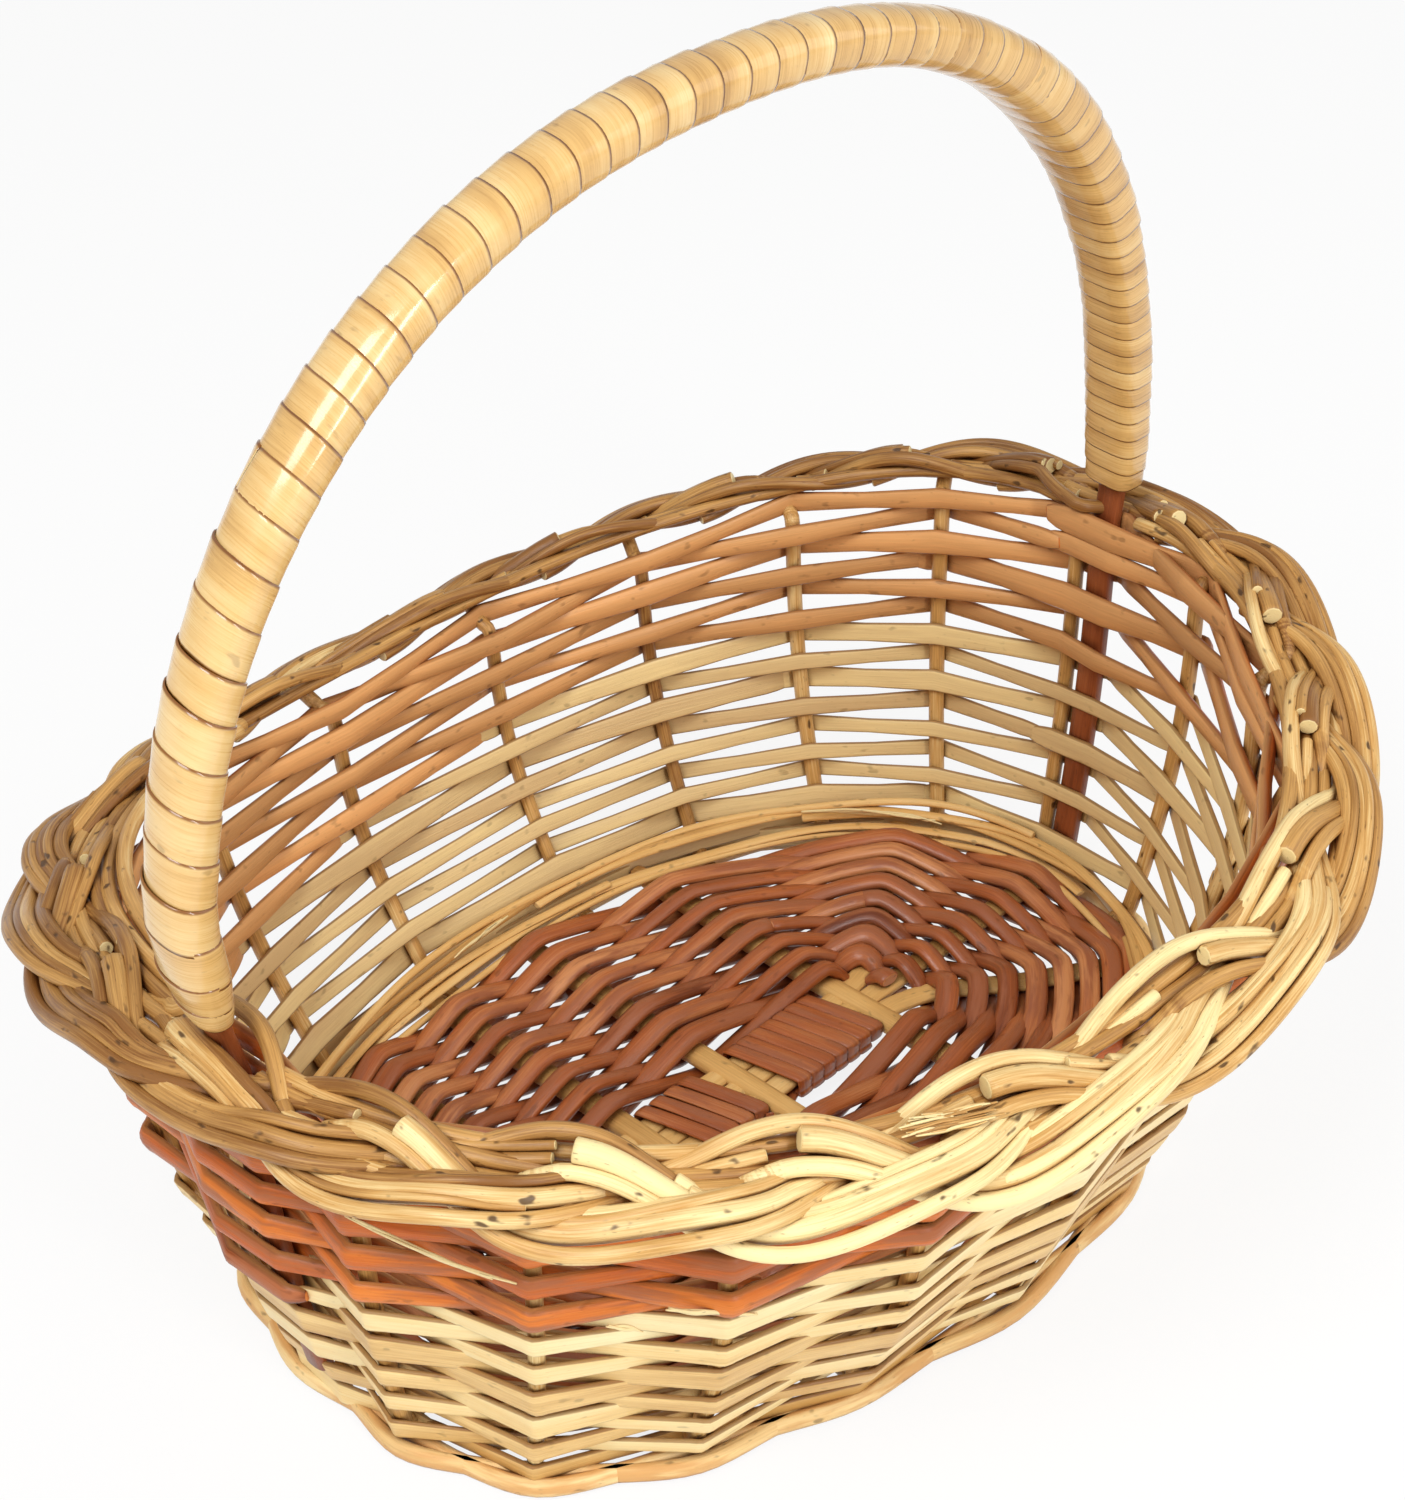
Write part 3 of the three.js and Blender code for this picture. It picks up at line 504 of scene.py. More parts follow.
def plait_point(stake, age, rank, lift=0.0):
    """Point of a strand's rod. It passes a leg on the side where it is, and closer to its neighbours."""
    t = stake_angle(stake + age)
    out = SPREAD * strand_swing(age) + rank * SPACING
    level = RISE * math.sin(2 * TAU * age / PERIOD)
    y = abs(oval(*BORDER, t)[1])
    if y < LEG_REACH:
        near = 1 - (y / LEG_REACH) ** 2
        leg = min(LEG_PLACES, key=lambda place: abs(place - (stake + age)))
        natural = SPREAD * strand_swing(leg - stake) + rank * SPACING
        clear = LEG_HALF_THICKNESS + PLAIT_ROD + 0.2
        side = -1 if natural < -LEG_INSET - 0.6 else 1
        target = -LEG_INSET + side * clear + 0.75 * (natural + LEG_INSET)
        out += (target - natural) * near
        level *= 1 - 0.45 * near
    return border_point(t, out, level + lift)


def border_tint(stake, age):
    """Rods carry painted light: lighter on the near and right sides, where the lamps fall, and so darker at the back.
    """
    degrees = math.degrees(stake_angle(stake + age)) % 360
    near, right = (size * math.exp(-((degrees - place) / width) ** 2)
                   for place, width, size in (NEAR_PAINTED_LIGHT, RIGHT_PAINTED_LIGHT))
    return tinted(BORDER_SHADE + near + right, 0.14)


def clear_of_legs(stake, age):
    """Moves the end of a rod away from a leg."""
    for leg in LEG_PLACES:
        if abs(stake + age - leg) < LEG_AGE:
            return leg - stake - LEG_AGE
    return age


def tapered(path, start, end):
    share = np.linspace(0, 1, len(path))
    return start + (end - start) * share


# A stake's tongue under the base's edge, as distances inwards and up, and how far the stake turns up.
TONGUE_STOPS = ((9, 0), (5.5, 0), (3.0, 0.1), (0.9, 1.0))
TURN_UP = 3.2
STAKE_THICK, STAKE_TAPER = (1.8, 2.05), 0.35
# Age and drop where a stake enters the plait, ages of its points there, and its points while the tint changes.
ENTRY_AGE, ENTRY_DROP = 0.06, 2.2
PLAIT_START, PLAIT_END, PLAIT_STEP = 0.24, 3.2, 0.14
TINT_CHANGE = (27, 36)


def build_stakes():
    for k in range(STAKES):
        t = stake_angle(k)
        out = oval_normal(*FOOT, t)
        foot, top = wall_point(t, TONGUE_LEVEL), wall_top(t)
        points = [foot - out * inward + UP * rise for inward, rise in TONGUE_STOPS]
        points += [wall_point(t, z) for z in np.linspace(TONGUE_LEVEL + TURN_UP, top, 6)]
        entry = plait_point(k, ENTRY_AGE, 1, -ENTRY_DROP)
        points += [wall_point(t, top) * 0.6 + entry * 0.4, entry]
        for age in np.arange(PLAIT_START, clear_of_legs(k, PLAIT_END) + 0.01, PLAIT_STEP):
            # The stake lies lower at both ends of the plait, and moves inwards on its last step.
            sunk = settle(1 - age / 0.6) + 1.6 * settle((age - 2.7) / 0.5)
            rank = 1 + 0.1 * math.sin(2.3 * age + k) - settle((age - 2.2) / 0.8)
            points.append(plait_point(k, age, rank, -sunk))
        path = smooth(points, 3)
        thick = rng.uniform(*STAKE_THICK)
        radius = tapered(path, thick, thick - STAKE_TAPER)
        across = radius.copy()
        across[:5] *= 0.6
        # The stake's part in the plait takes the border's tint, with its painted light on the near and right sides.
        tint = np.interp(np.arange(len(path)), TINT_CHANGE, [tinted(0.5, 0.12), border_tint(k, PERIOD / 2)])
        piece = Bundle(f"stake_{k + 1:02d}")
        piece.sweep(path, carried(path, np.cross(UP, out)), across, radius, ROUND, tint=tint)
        piece.build(plait_wood, "stake_willow", [f"side_stake_{k + 1:02d}"])


def liner_lengths(k, long_ends):
    """Start and end, rank at the start and after the shift, radius, taper, lift, and lift of the butt.

    A long rod with a thick butt shifts inwards for its second turn. A short one goes on where the long one of the
    strand before it ended. Thin ones lie on top.
    """
    ended = long_ends[k - PERIOD] - PERIOD
    lengths = [(rng.uniform(0.22, 0.5), long_ends[k], 0.0, -1.0, rng.uniform(2.1, 2.6), 0.9, 0.0, 0.9),
               (ended - 0.1, rng.uniform(2.45, 2.65), -1.0, -1.0, rng.uniform(1.8, 2.1), 0.4, -0.2, 0.0)]
    for rank in (-0.5, 0.5):
        if rng.random() < 0.85:
            start = rng.uniform(0.25, 1.3)
            lengths.append((start, start + rng.uniform(1.3, 2.1), rank, rank, rng.uniform(1.1, 1.6), 0.5, 1.3, 0.2))
    return lengths


def build_liners():
    long_ends = [clear_of_legs(k, rng.uniform(3.85, 4.15)) for k in range(STAKES)]
    for k in range(STAKES):
        piece = Bundle(f"border_rods_{k + 1:02d}")
        for start, end, rank, rank_after, thick, taper, lift, butt in liner_lengths(k, long_ends):
            start, end = clear_of_legs(k, start), clear_of_legs(k, end)
            ages = np.linspace(start, end, max(int((end - start) / 0.1), 4))
            wobble, height = rng.uniform(0, TAU), lift + rng.uniform(-0.3, 0.3)
            points = []
            for age in ages:
                shifted = rank + (rank_after - rank) * settle((age - 2.35) / 0.8) + 0.14 * math.sin(3 * age + wobble)
                level = height + butt * settle(1 - (age - start) / 0.5) - 1.0 * settle((age - end + 0.4) / 0.4)
                points.append(plait_point(k, age, shifted, level + 0.25 * math.sin(4.1 * age + wobble)))
            path = smooth(points, 3)
            radius = tapered(path, thick, thick - taper)
            piece.sweep(path, carried(path, UP), radius, radius, ROUND, tint=border_tint(k, (start + end) / 2))
        piece.build(plait_wood, "border_willow", [f"border_liner_{k + 1:02d}"])


# Long rods under the plait, from leg to leg, and two more at the left end: degrees, and places across the border.
CORE_PLACES = (-8.7, -5.4, -1.9, 1.6)
CORE_RUNS = ((4, 176, CORE_PLACES), (184, 356, CORE_PLACES), (110, 174, (-11.8, -14.6)))
CORE_DROP, CORE_ROD = 1.4, (1.75, 1.6)


def build_core_rods():
    piece = Bundle("border_core_rods")
    for first, last, places in CORE_RUNS:
        for place in places:
            t = np.radians(np.linspace(first + rng.uniform(0, 3), last - rng.uniform(0, 3), 110))
            path = border_point(t, place + 0.5 * np.sin(5 * t + place), 0.3 * np.sin(7 * t + place) - CORE_DROP)
            piece.sweep(path, carried(path, UP), *CORE_ROD, ROUND, tint=tinted(0.35, 0.15))
    piece.build(plait_wood, "border_willow")


# Wall weavers. One spiral is cut into lengths. Pairs of its rows are short, and build up the near side.

LAPS = 21
PITCHES = 20.3
PACKED = (5, 12, 15)
NEAR_PLACE, NEAR_HALF, NEAR_FADE = 245, 50, 60
SEEN_FROM, SEEN_HALF = 225, 80
FIRST_LEVEL, LOWEST_ROW = 7.0, 5.6
TOP_LIFT, HIGHEST_ROW = 6.0, 4.4
LENGTH_POSTS = (8, 13)
POST_HALF = 2.05
# Laps and angles at which the brown rods start, and the painted light and shade of the cream strips: lighter towards
# the lit near side, darker away from it, with painted shade at the left inside.
BROWN_LAP, BROWN_SWELLS = 10.8, ((150, 45, -5.0), (285, 35, 4.0))
CREAM_PAINTED_LIGHT, LIT_PLACE, CREAM_PAINTED_SHADE = 0.12, 250, ((150, 45, -0.22),)
# Half thickness, half width, its share between the posts, thickness of the tip, tint and section of each kind.
KINDS = {"cream": ((0.5, 0.7), (2.5, 4.0), 0.84, 0.4, 0.45, FLAT_STRIP),
         "brown": ((1.3, 1.9), (2.8, 4.1), 0.78, 0.5, 0.5, HALF_ROUND)}
TIP = 6
# Share of the laps where the cream strips end, which are three pieces, and where the second brown one starts.
CREAM_SHARE, BROWN_SHARE = 0.62, 0.78
# Shares of the way between two posts, close together at the first, round which the weaver bends.
SHARES = np.array([0.0, 0.07, 0.18, 0.34, 0.5, 0.66, 0.82, 0.93])[:, None]


def lap_posts():
    """Angles of the posts of one lap, with the stakes whose side they take: a leg takes that of the one before."""
    posts = [(stake_angle(i), i) for i in range(STAKES)]
    posts.append((TAU - LEG_EDGE, STAKES))
    posts.append((math.pi + LEG_EDGE, math.floor(LEG_PLACES[1])))
    return sorted(posts)


POST_ANGLES, POST_SIDES = np.array([(angle + TAU * lap, 1 if (lap * STAKES + stake) % 2 == 0 else -1)
                                    for lap in range(-1, LAPS + 1) for angle, stake in lap_posts()]).T


def missing(t):
    """Share of the short rows that is missing: 0 on the near side and 1 on the far side."""
    return settle((np.abs(aside(np.degrees(t), NEAR_PLACE)) - NEAR_HALF) / NEAR_FADE)


def row_pitch(t):
    return (wall_top(t) + TOP_LIFT - FIRST_LEVEL) / (PITCHES - 2 * len(PACKED) * missing(t))


def row_level(t):
    """Level of the spiral at an angle that grows by a turn for each lap."""
    lap = (t - PHASE) / TAU
    packed = sum(np.clip(lap - start, 0, 2) for start in PACKED)
    return FIRST_LEVEL + (lap - missing(t) * packed) * row_pitch(t)


def wall_run(i, j, post_shifts, lift, half_thickness):
    """A weaver from just past post i to just past post j, straight between posts, with its directions."""
    angle = POST_ANGLES[i:j + 2]
    side = POST_SIDES[i:j + 2]
    shifts = post_shifts[i:j + 2]
    level = np.clip(row_level(angle), LOWEST_ROW, wall_top(angle) + HIGHEST_ROW)
    level = level + lift + shifts[:, 1]
    out, up = wall_frame(angle, level)
    at = wall_point(angle, level) + out * (side * (POST_HALF + half_thickness) + shifts[:, 0])[:, None]
    columns = np.hstack([at, out, up, side[:, None]])
    runs = []
    for k in range(len(angle) - 1):
        shares = SHARES[1:] if k == 0 else SHARES[:3] if k == len(angle) - 2 else SHARES
        runs.append(columns[k] * (1 - shares) + columns[k + 1] * shares)
    rows = smooth(np.vstack(runs), 2)
    return rows[:, :3], unit(rows[:, 3:6]), unit(rows[:, 6:9]), rows[:, 9]


def row_kind(post):
    angle = POST_ANGLES[post]
    lap = (angle - PHASE) / TAU
    if missing(angle) > 0.5 and any(start <= lap < start + 2 for start in PACKED):
        return None
    return "brown" if lap > BROWN_LAP + swell(angle, BROWN_SWELLS) else "cream"


def hidden(post):
    """Whether a weaver passes the far side of a post, as the photo sees it."""
    turned = abs(aside(math.degrees(POST_ANGLES[post]), SEEN_FROM))
    return POST_SIDES[post] == (-1 if turned < SEEN_HALF else 1)


def wall_lengths():
    """Lengths of the spiral between two posts, which hide their ends: their kind and ends."""
    rows = []
    i = 0
    last = len(POST_ANGLES) - len(lap_posts())
    while i < last:
        kind = row_kind(i + 1)
        j = min(i + rng.randint(*LENGTH_POSTS), last)
        j = next((k for k in range(i + 2, j) if row_kind(k + 1) != kind), j)
        if j < last and not hidden(j):
            j += 1
        if kind:
            rows.append((kind, i, j))
        i = j
    return rows


def build_wall():
    post_shifts = np.array([[rng.gauss(0, 0.22), rng.gauss(0, 0.28)] for _ in POST_ANGLES])
    cream = [Bundle(f"cream_strips_{i + 1}") for i in range(3)]
    brown = [Bundle(f"brown_rods_{i + 1}") for i in range(2)]
    for kind, i, j in wall_lengths():
        thicks, halves, waist, thin, tint, section = KINDS[kind]
        lap = (POST_ANGLES[i] - PHASE) / TAU
        lift = rng.uniform(-0.25, 0.25)
        thick = rng.uniform(*thicks)
        path, out, up, share = wall_run(i, j, post_shifts, lift, thick)
        run = run_along(path)
        tip = np.clip(np.minimum(run, run[-1] - run) / TIP, 0, 1) ** 0.5
        middle = POST_ANGLES[(i + j) // 2]
        width = (1 - 0.16 * missing(middle)) * (0.6 + 0.4 * tip)
        if kind == "cream":
            # Painted light and shade: cream strips are lighter towards the lit side, darker on the far side, and
            # darker round 150 degrees where the wall's inside lies in shade.
            tint += CREAM_PAINTED_LIGHT * math.cos(middle - math.radians(LIT_PLACE)) + swell(middle, CREAM_PAINTED_SHADE)
            piece = cream[min(int(max(lap, 0) / (LAPS * CREAM_SHARE) * 3), 2)]
        else:
            piece = brown[int(lap / LAPS >= BROWN_SHARE)]
        half = rng.uniform(*halves) * (waist + (1 - waist) * np.abs(share)) * width
        piece.sweep(path, up, thick * (thin + (1 - thin) * tip), half, section, tint=tinted(tint, 0.2), out=out)
    for i, piece in enumerate(cream):
        piece.build(cream_wood, "cream_splint", [f"cream_weaver_{i + 1}"])
    for i, piece in enumerate(brown):
        piece.build(brown_wood, "brown_willow", [f"brown_weaver_{i + 1}"])


def build_upset_rods():
    """Thin rods that lock the stakes where the wall turns up from the base, each further in and lower."""
    piece = Bundle("upset_rods")
    for number in range(9):
        first = rng.uniform(0, TAU)
        t = np.linspace(first, first + rng.uniform(2.6, 5.6), 150)
        inset = 3.2 + 0.85 * number + 0.5 * np.sin(3 * t + number)
        wave = 0.7 * np.cos(STAKES / 2 * (t - PHASE) + (number % 2) * math.pi)
        path = wall_point(t, TONGUE_LEVEL) - oval_normal(*FOOT, t) * (inset + wave)[:, None]
        path[:, 2] = TONGUE_LEVEL + 8.8 - 0.7 * number + 0.4 * np.sin(5 * t + number)
        piece.sweep(path, UP, rng.uniform(0.9, 1.5), rng.uniform(0.6, 1.0), ROUND, tint=tinted(0.55, 0.25))
    piece.build(stick_wood, "border_willow")


FOOT_LEVEL, FOOT_HALF = 2.1, (1.7, 2.1)


def build_foot():
    """Foot: two rods under the stakes, one outside a stake where the other is inside it."""
    piece = Bundle("foot_rods")
    for phase in (0, 1):
        places = np.arange(2 * STAKES + 1) / 2
        angle = stake_angle(places)
        turn = (places + phase) % 2
        wave = np.select([turn == 0, turn == 1], [3.0, -1.2], 0.4) + swell(angle, FOOT_SWELLS)
        path = oval(*FOOT, angle) + oval_normal(*FOOT, angle) * wave[:, None]
        path[:, 2] = FOOT_LEVEL
        path = smooth(path, 5)
        piece.sweep(path, UP, *FOOT_HALF, ring_section(12, 2.4), tint=0.4 + 0.25 * phase)
    piece.build(foot_wood, "stake_willow", ["foot_row"])


# Handle. The legs end above the plait, where the bow springs.
LEG_X = BORDER[0] - LEG_INSET
PLAIT_TOP = PLAIT_SLOPE * (LEG_INSET + (LEG_HALF_THICKNESS + PLAIT_ROD + FIT)) + PLAIT_RISE + PLAIT_ROD
LEG_TOP = border_level(np.array([LEG_X, 0.0, 0.0])) + PLAIT_TOP + FIT
SPRING = LEG_TOP + SHOULDER
BOW_STEPS = 32
# Share of the way out to the bow that the left and right leg have gone at their tops.
LEG_LEANS = (0.5, 1.2)
# Level where the wrapping starts, and how far and how much it is drawn in there.
WRAP_LEVEL, WRAP_START = 110.5, 1.0
DRAWN_LENGTH, DRAWN_LEFT, DRAWN_RIGHT = 15.0, 0.42, 0.15


def leg_line(half_span, lean):
    """Leg up the wall, which then leans out by a share of the way to the bow."""
    top = wall_top(0.0)
    leg = [wall_point(0.0, z)[[0, 2]] for z in np.linspace(LEG_FOOT_LEVEL, top, 5)]
    return leg + [(LEG_X, top + 0.25 * (LEG_TOP - top)), (LEG_X + lean * (half_span - LEG_X), LEG_TOP)]


def bow_line():
    """Middle line of the bow and its legs, as places along X and levels."""
    line = [(-x, z) for x, z in leg_line(BOW_HALF_SPANS[0], LEG_LEANS[0])]
    for i in range(1, BOW_STEPS):
        u = math.pi * (1 - i / BOW_STEPS)
        right = int(i > BOW_STEPS / 2)
        p = oval(BOW_HALF_SPANS[right], BOW_TOP - SPRING, u, BOW_POWERS[right])
        line.append((p[0], SPRING + max(p[1], 0)))
    return line + leg_line(BOW_HALF_SPANS[1], LEG_LEANS[1])[::-1]


def upright(line):
    return np.insert(line, 1, 0, axis=1)


BOW = smooth(np.array(bow_line()), 5)


def build_core():
    grown = settle((BOW[:, 1] - WRAP_LEVEL) / DRAWN_LENGTH)
    piece = Bundle("handle_core")
    piece.sweep(upright(BOW), SIDE, LEG_HALF_THICKNESS + (CORE_HALF[0] - LEG_HALF_THICKNESS) * grown,
                LEG_HALF_WIDTH + (CORE_HALF[1] - LEG_HALF_WIDTH) * grown, ring_section(20, 2.8), tint=0.45)
    piece.build(core_wood, "brown_willow", ["handle_hoop"])


# Wrapping: name, share of the bow and turns of each length of cane.
WRAPS = (("left", 0.25, 13), ("top_left", 0.37, 22), ("top_right", 0.22, 15), ("right", 0.16, 15))
FIRST_TURNS = (0.5, 0.75)
OPEN_TURN = 9
PER_TURN = 32
CANE_HALF, CANE_OUT = 0.34, 0.75
OVERLAP_TILT = 0.28
# Thicker part at the right shoulder: size, and place and width as shares of the bow.
SHOULDER_BULGE = (1.4, 0.75, 0.1)
# Power of the wrapping's outline by turn, which is squarer to the right.
OUTLINE_TURNS, OUTLINE_POWERS = (0, 40), (2.2, 2.6, 3.4)


def superellipse(angle, a, b, power):
    """Point on the outline, and the direction square to it."""
    cos, sin = np.cos(angle), np.sin(angle)
    return (a * spow(cos, 2 / power), b * spow(sin, 2 / power),
            spow(cos, 2 - 2 / power) / a, spow(sin, 2 - 2 / power) / b)


def build_wraps():
    arch = upright(BOW[BOW[:, 1] > WRAP_LEVEL + WRAP_START])
    arch_run, arch_tangent = run_along(arch), unit(np.gradient(arch, axis=0))
    whole = arch_run[-1]

    # Widths and places of the turns along the bow: wide on the left leg and narrow on the right one.
    widths = []
    for _, share, turns in WRAPS:
        widths += [share / turns * rng.uniform(0.9, 1.1) for _ in range(turns)]
    widths = np.convolve(np.pad(widths, 2, "edge"), [0.1, 0.2, 0.4, 0.2, 0.1], "valid")
    widths[:2] *= FIRST_TURNS
    widths = widths / widths.sum() * whole
    marks = np.concatenate([[0], np.cumsum(widths)])
    index = np.arange(len(marks))
    bulges = np.array([rng.uniform(0, 0.3) for _ in marks])
    opened = (index == OPEN_TURN).astype(float)

    first = 0
    for name, _, turns in WRAPS:
        last = first + turns
        s = np.linspace(first, last - 0.02, turns * PER_TURN)
        width = np.interp(s, index[:-1] + 0.5, widths)
        run = np.clip(np.interp(s, index, marks), 0.3 * widths[0], whole - 0.5 * widths[-1])
        at, tangent = (np.stack([np.interp(run, arch_run, line[:, i]) for i in range(3)], -1)
                       for line in (arch, arch_tangent))
        tangent = unit(tangent)
        size, place, spread = SHOULDER_BULGE
        bulge = np.interp(s, index, bulges) + size * np.exp(-((run / whole - place) / spread) ** 2)
        power = np.interp(s, [*OUTLINE_TURNS, len(marks)], OUTLINE_POWERS)
        low = np.clip(1 - run / DRAWN_LENGTH, 0, 1)
        high = np.clip(1 - (whole - run) / DRAWN_LENGTH, 0, 1)
        drawn = 1 - DRAWN_LEFT * low ** 1.5 - DRAWN_RIGHT * high ** 1.5
        slope = 1.5 * (DRAWN_LEFT * low ** 0.5 - DRAWN_RIGHT * high ** 0.5) / DRAWN_LENGTH * sum(CORE_HALF) / 2
        reach_a, reach_b = CORE_HALF[0] + CANE_OUT + bulge, CORE_HALF[1] + CANE_OUT + bulge
        a, b, square_a, square_b = superellipse(TAU * s + 0.6, reach_a * drawn, reach_b * drawn, power)
        above = unit(np.cross(tangent, SIDE))
        outward = above * a[:, None] + SIDE * b[:, None]
        square = unit(above * square_a[:, None] + SIDE * square_b[:, None])
        # The strip follows the taper at the ends, and is tilted, so that its upper edge lies over the next turn.
        hints = unit(square - tangent * (slope + OVERLAP_TILT / width)[:, None])
        reach = width * (0.58 - 0.12 * np.interp(s, index, opened))
        piece = Bundle(f"wrap_{name}")
        piece.sweep(at + outward, hints, reach, CANE_HALF, ring_section(10, 5.0), tint=tinted(0.5, 0.04), out=square)
        piece.build(cane, "split_cane", [f"handle_wrap_{name}"])
        first = last


# Base. In its middle, the slath, long sticks go through slit cross sticks. An arm is a stick's part outside it: its
# start, direction and the height that the rods clear.
SLATH_HALF_WIDTH = 9.3
SLATH_MIDDLE = (CROSS_PLACES[0] + CROSS_PLACES[-1]) / 2
SLATH_HALF_LENGTH = (CROSS_PLACES[-1] - CROSS_PLACES[0]) / 2 + 3.0
LONG_PITCH = 6.3
LONG_BEND = 3.0
FAN = math.radians(32)
LONG_HALF, CROSS_HALF = (2.9, 1.2), (3.0, 2.3)
LONG_CLEAR = 1.1
# Size and power of the oval of the rods, from the first row to the last.
FIRST_OVAL, LAST_OVAL = (SLATH_MIDDLE, SLATH_HALF_LENGTH + 6.0, 12.5, 4.0), (0.0, 112.5, 76.5, OVAL_POWER)
BASE_LAPS = 8
BASE_ROD, BASE_GAP = 1.75, 0.6
BASE_THICK, BASE_SHAPE = (1.9, 2.5), (1.2, 0.75)
BASE_HOLD = 1.8
WIDE_GAP = 9
BINDING_GAP, BINDING_PITCH = 5.2, 4.3


def base_oval(share):
    return tuple(first + (last - first) * share for first, last in zip(FIRST_OVAL, LAST_OVAL))


def meet(start, direction, shape):
    """Distance from a start along a direction to an oval."""
    middle, a, b, power = shape
    near, far = 0.0, 236.0
    for _ in range(36):
        half = (near + far) / 2
        x = (start[0] + half * direction[0] - middle) / a
        y = (start[1] + half * direction[1]) / b
        if abs(x) ** power + abs(y) ** power < 1:
            near = half
        else:
            far = half
    return near


def arm_point(arm, share):
    start, direction, _ = arm
    d = meet(start, direction, base_oval(share))
    return np.array([start[0] + d * direction[0], start[1] + d * direction[1], BASE_LEVEL])


def bearing(arm):
    x, y, _ = arm_point(arm, 1)
    return math.atan2(y, x) % TAU


def base_arms():
    arms = []
    for end in (1, -1):
        bend = SLATH_MIDDLE + end * (SLATH_HALF_LENGTH + LONG_BEND)
        for side in (0, 1, -1):
            arms.append(((bend, side * LONG_PITCH), (end * math.cos(side * FAN), math.sin(side * FAN)), LONG_CLEAR))
    for x in CROSS_PLACES:
        for side in (1, -1):
            arms.append(((x, 0.0), (0.0, float(side)), CROSS_HALF[1]))
    return sorted(arms, key=bearing)


ARMS = base_arms()


def build_base_rods():
    """Two rods that go round over and under the arms in turn, each in several lengths."""
    count = len(ARMS)
    for letter, offset in (("a", 0), ("b", 1)):
        def row(i):
            return (2 * i / count + offset) / (2 * BASE_LAPS + 1)

        points = []
        for i in range(BASE_LAPS * count + 1):
            arm = ARMS[i % count]
            p = arm_point(arm, row(i))
            over = 1 if (i + offset) % 2 == 0 else -1
            ahead, before = arm_point(ARMS[(i + 1) % count], row(i + 1)), arm_point(ARMS[(i - 1) % count], row(i - 1))
            along = unit(ahead - before)
            lift = np.array([0, 0, over * (arm[2] + BASE_ROD + BASE_GAP)])
            points += [p - along * BASE_HOLD + lift, p + along * BASE_HOLD + lift]
            if np.linalg.norm(ahead - p) > WIDE_GAP:
                middle, a, b, power = base_oval(row(i + 0.5))
                m = (p + ahead) / 2
                direction = (m[0] - middle, m[1])
                d = meet((middle, 0.0), direction, (middle, a, b, power))
                points.append(np.array([middle + d * direction[0], d * direction[1], BASE_LEVEL]))
        path = softened(smooth(points, 4), 7)
        cuts = list(range(0, len(path) - 60, 260)) + [len(path) - 1]
        piece = Bundle(f"base_rods_{letter}")
        for low, high in zip(cuts, cuts[1:]):
            part = path[low:high + 1]
            thick = rng.uniform(*BASE_THICK)
            wide, flat = (share * thick for share in BASE_SHAPE)
            piece.sweep(part, carried(part, UP), wide, flat, ROUND, tint=tinted(0.5, 0.2))
        piece.build(floor_wood, "brown_willow", [f"base_weaver_{letter}"])


def build_cross_sticks():
    for i, x in enumerate(CROSS_PLACES):
        low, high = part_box(f"base_cross_stick_{i + 1}")
        y = np.concatenate([np.linspace(low.y / MM, -SLATH_HALF_WIDTH, 12),
                            np.linspace(-SLATH_HALF_WIDTH + 2, SLATH_HALF_WIDTH - 2, 5),
                            np.linspace(SLATH_HALF_WIDTH, high.y / MM, 12)])
        path = np.stack([x + 0.25 * np.sin(y / 17 + i), y, np.full(len(y), BASE_LEVEL)], -1)
        end = np.clip(np.minimum(y - y[0], y[-1] - y) / 12, 0, 1) ** 0.5
        piece = Bundle(f"cross_stick_{i + 1}")
        piece.sweep(path, UP, CROSS_HALF[0] * (0.68 + 0.32 * end), CROSS_HALF[1] * (0.75 + 0.25 * end),
                    ring_section(12, 2.4), tint=tinted(0.5, 0.1))
        piece.build(stick_wood, "border_willow", [f"base_cross_stick_{i + 1}"])


def build_long_sticks():
    for i, side in enumerate((-1, 0, 1)):
        ends = [arm for arm in ARMS if arm[2] == LONG_CLEAR and arm[0][1] == side * LONG_PITCH]
        ends.sort(key=lambda arm: arm[0][0])
        low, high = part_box(f"base_long_stick_{i + 1}")
        tips, bends = [], []
        for (start, direction, _), edge in zip(ends, (low.x / MM, high.x / MM)):
            reach = (edge - start[0]) / direction[0]
            tips.append(np.array([edge, start[1] + reach * direction[1], BASE_LEVEL]))
            bends.append(np.array([*start, BASE_LEVEL]))
        stops = [tips[0], *bends, tips[1]]
        line = stops[:1]
        for a, b in zip(stops, stops[1:]):
            line += [(a + b) / 2, b]
        path = smooth(line, 8)
        piece = Bundle(f"long_stick_{i + 1}")
        piece.sweep(path, UP, *LONG_HALF, ring_section(12, 3.0), tint=tinted(0.5, 0.1))
        piece.build(stick_wood, "border_willow", [f"base_long_stick_{i + 1}"])


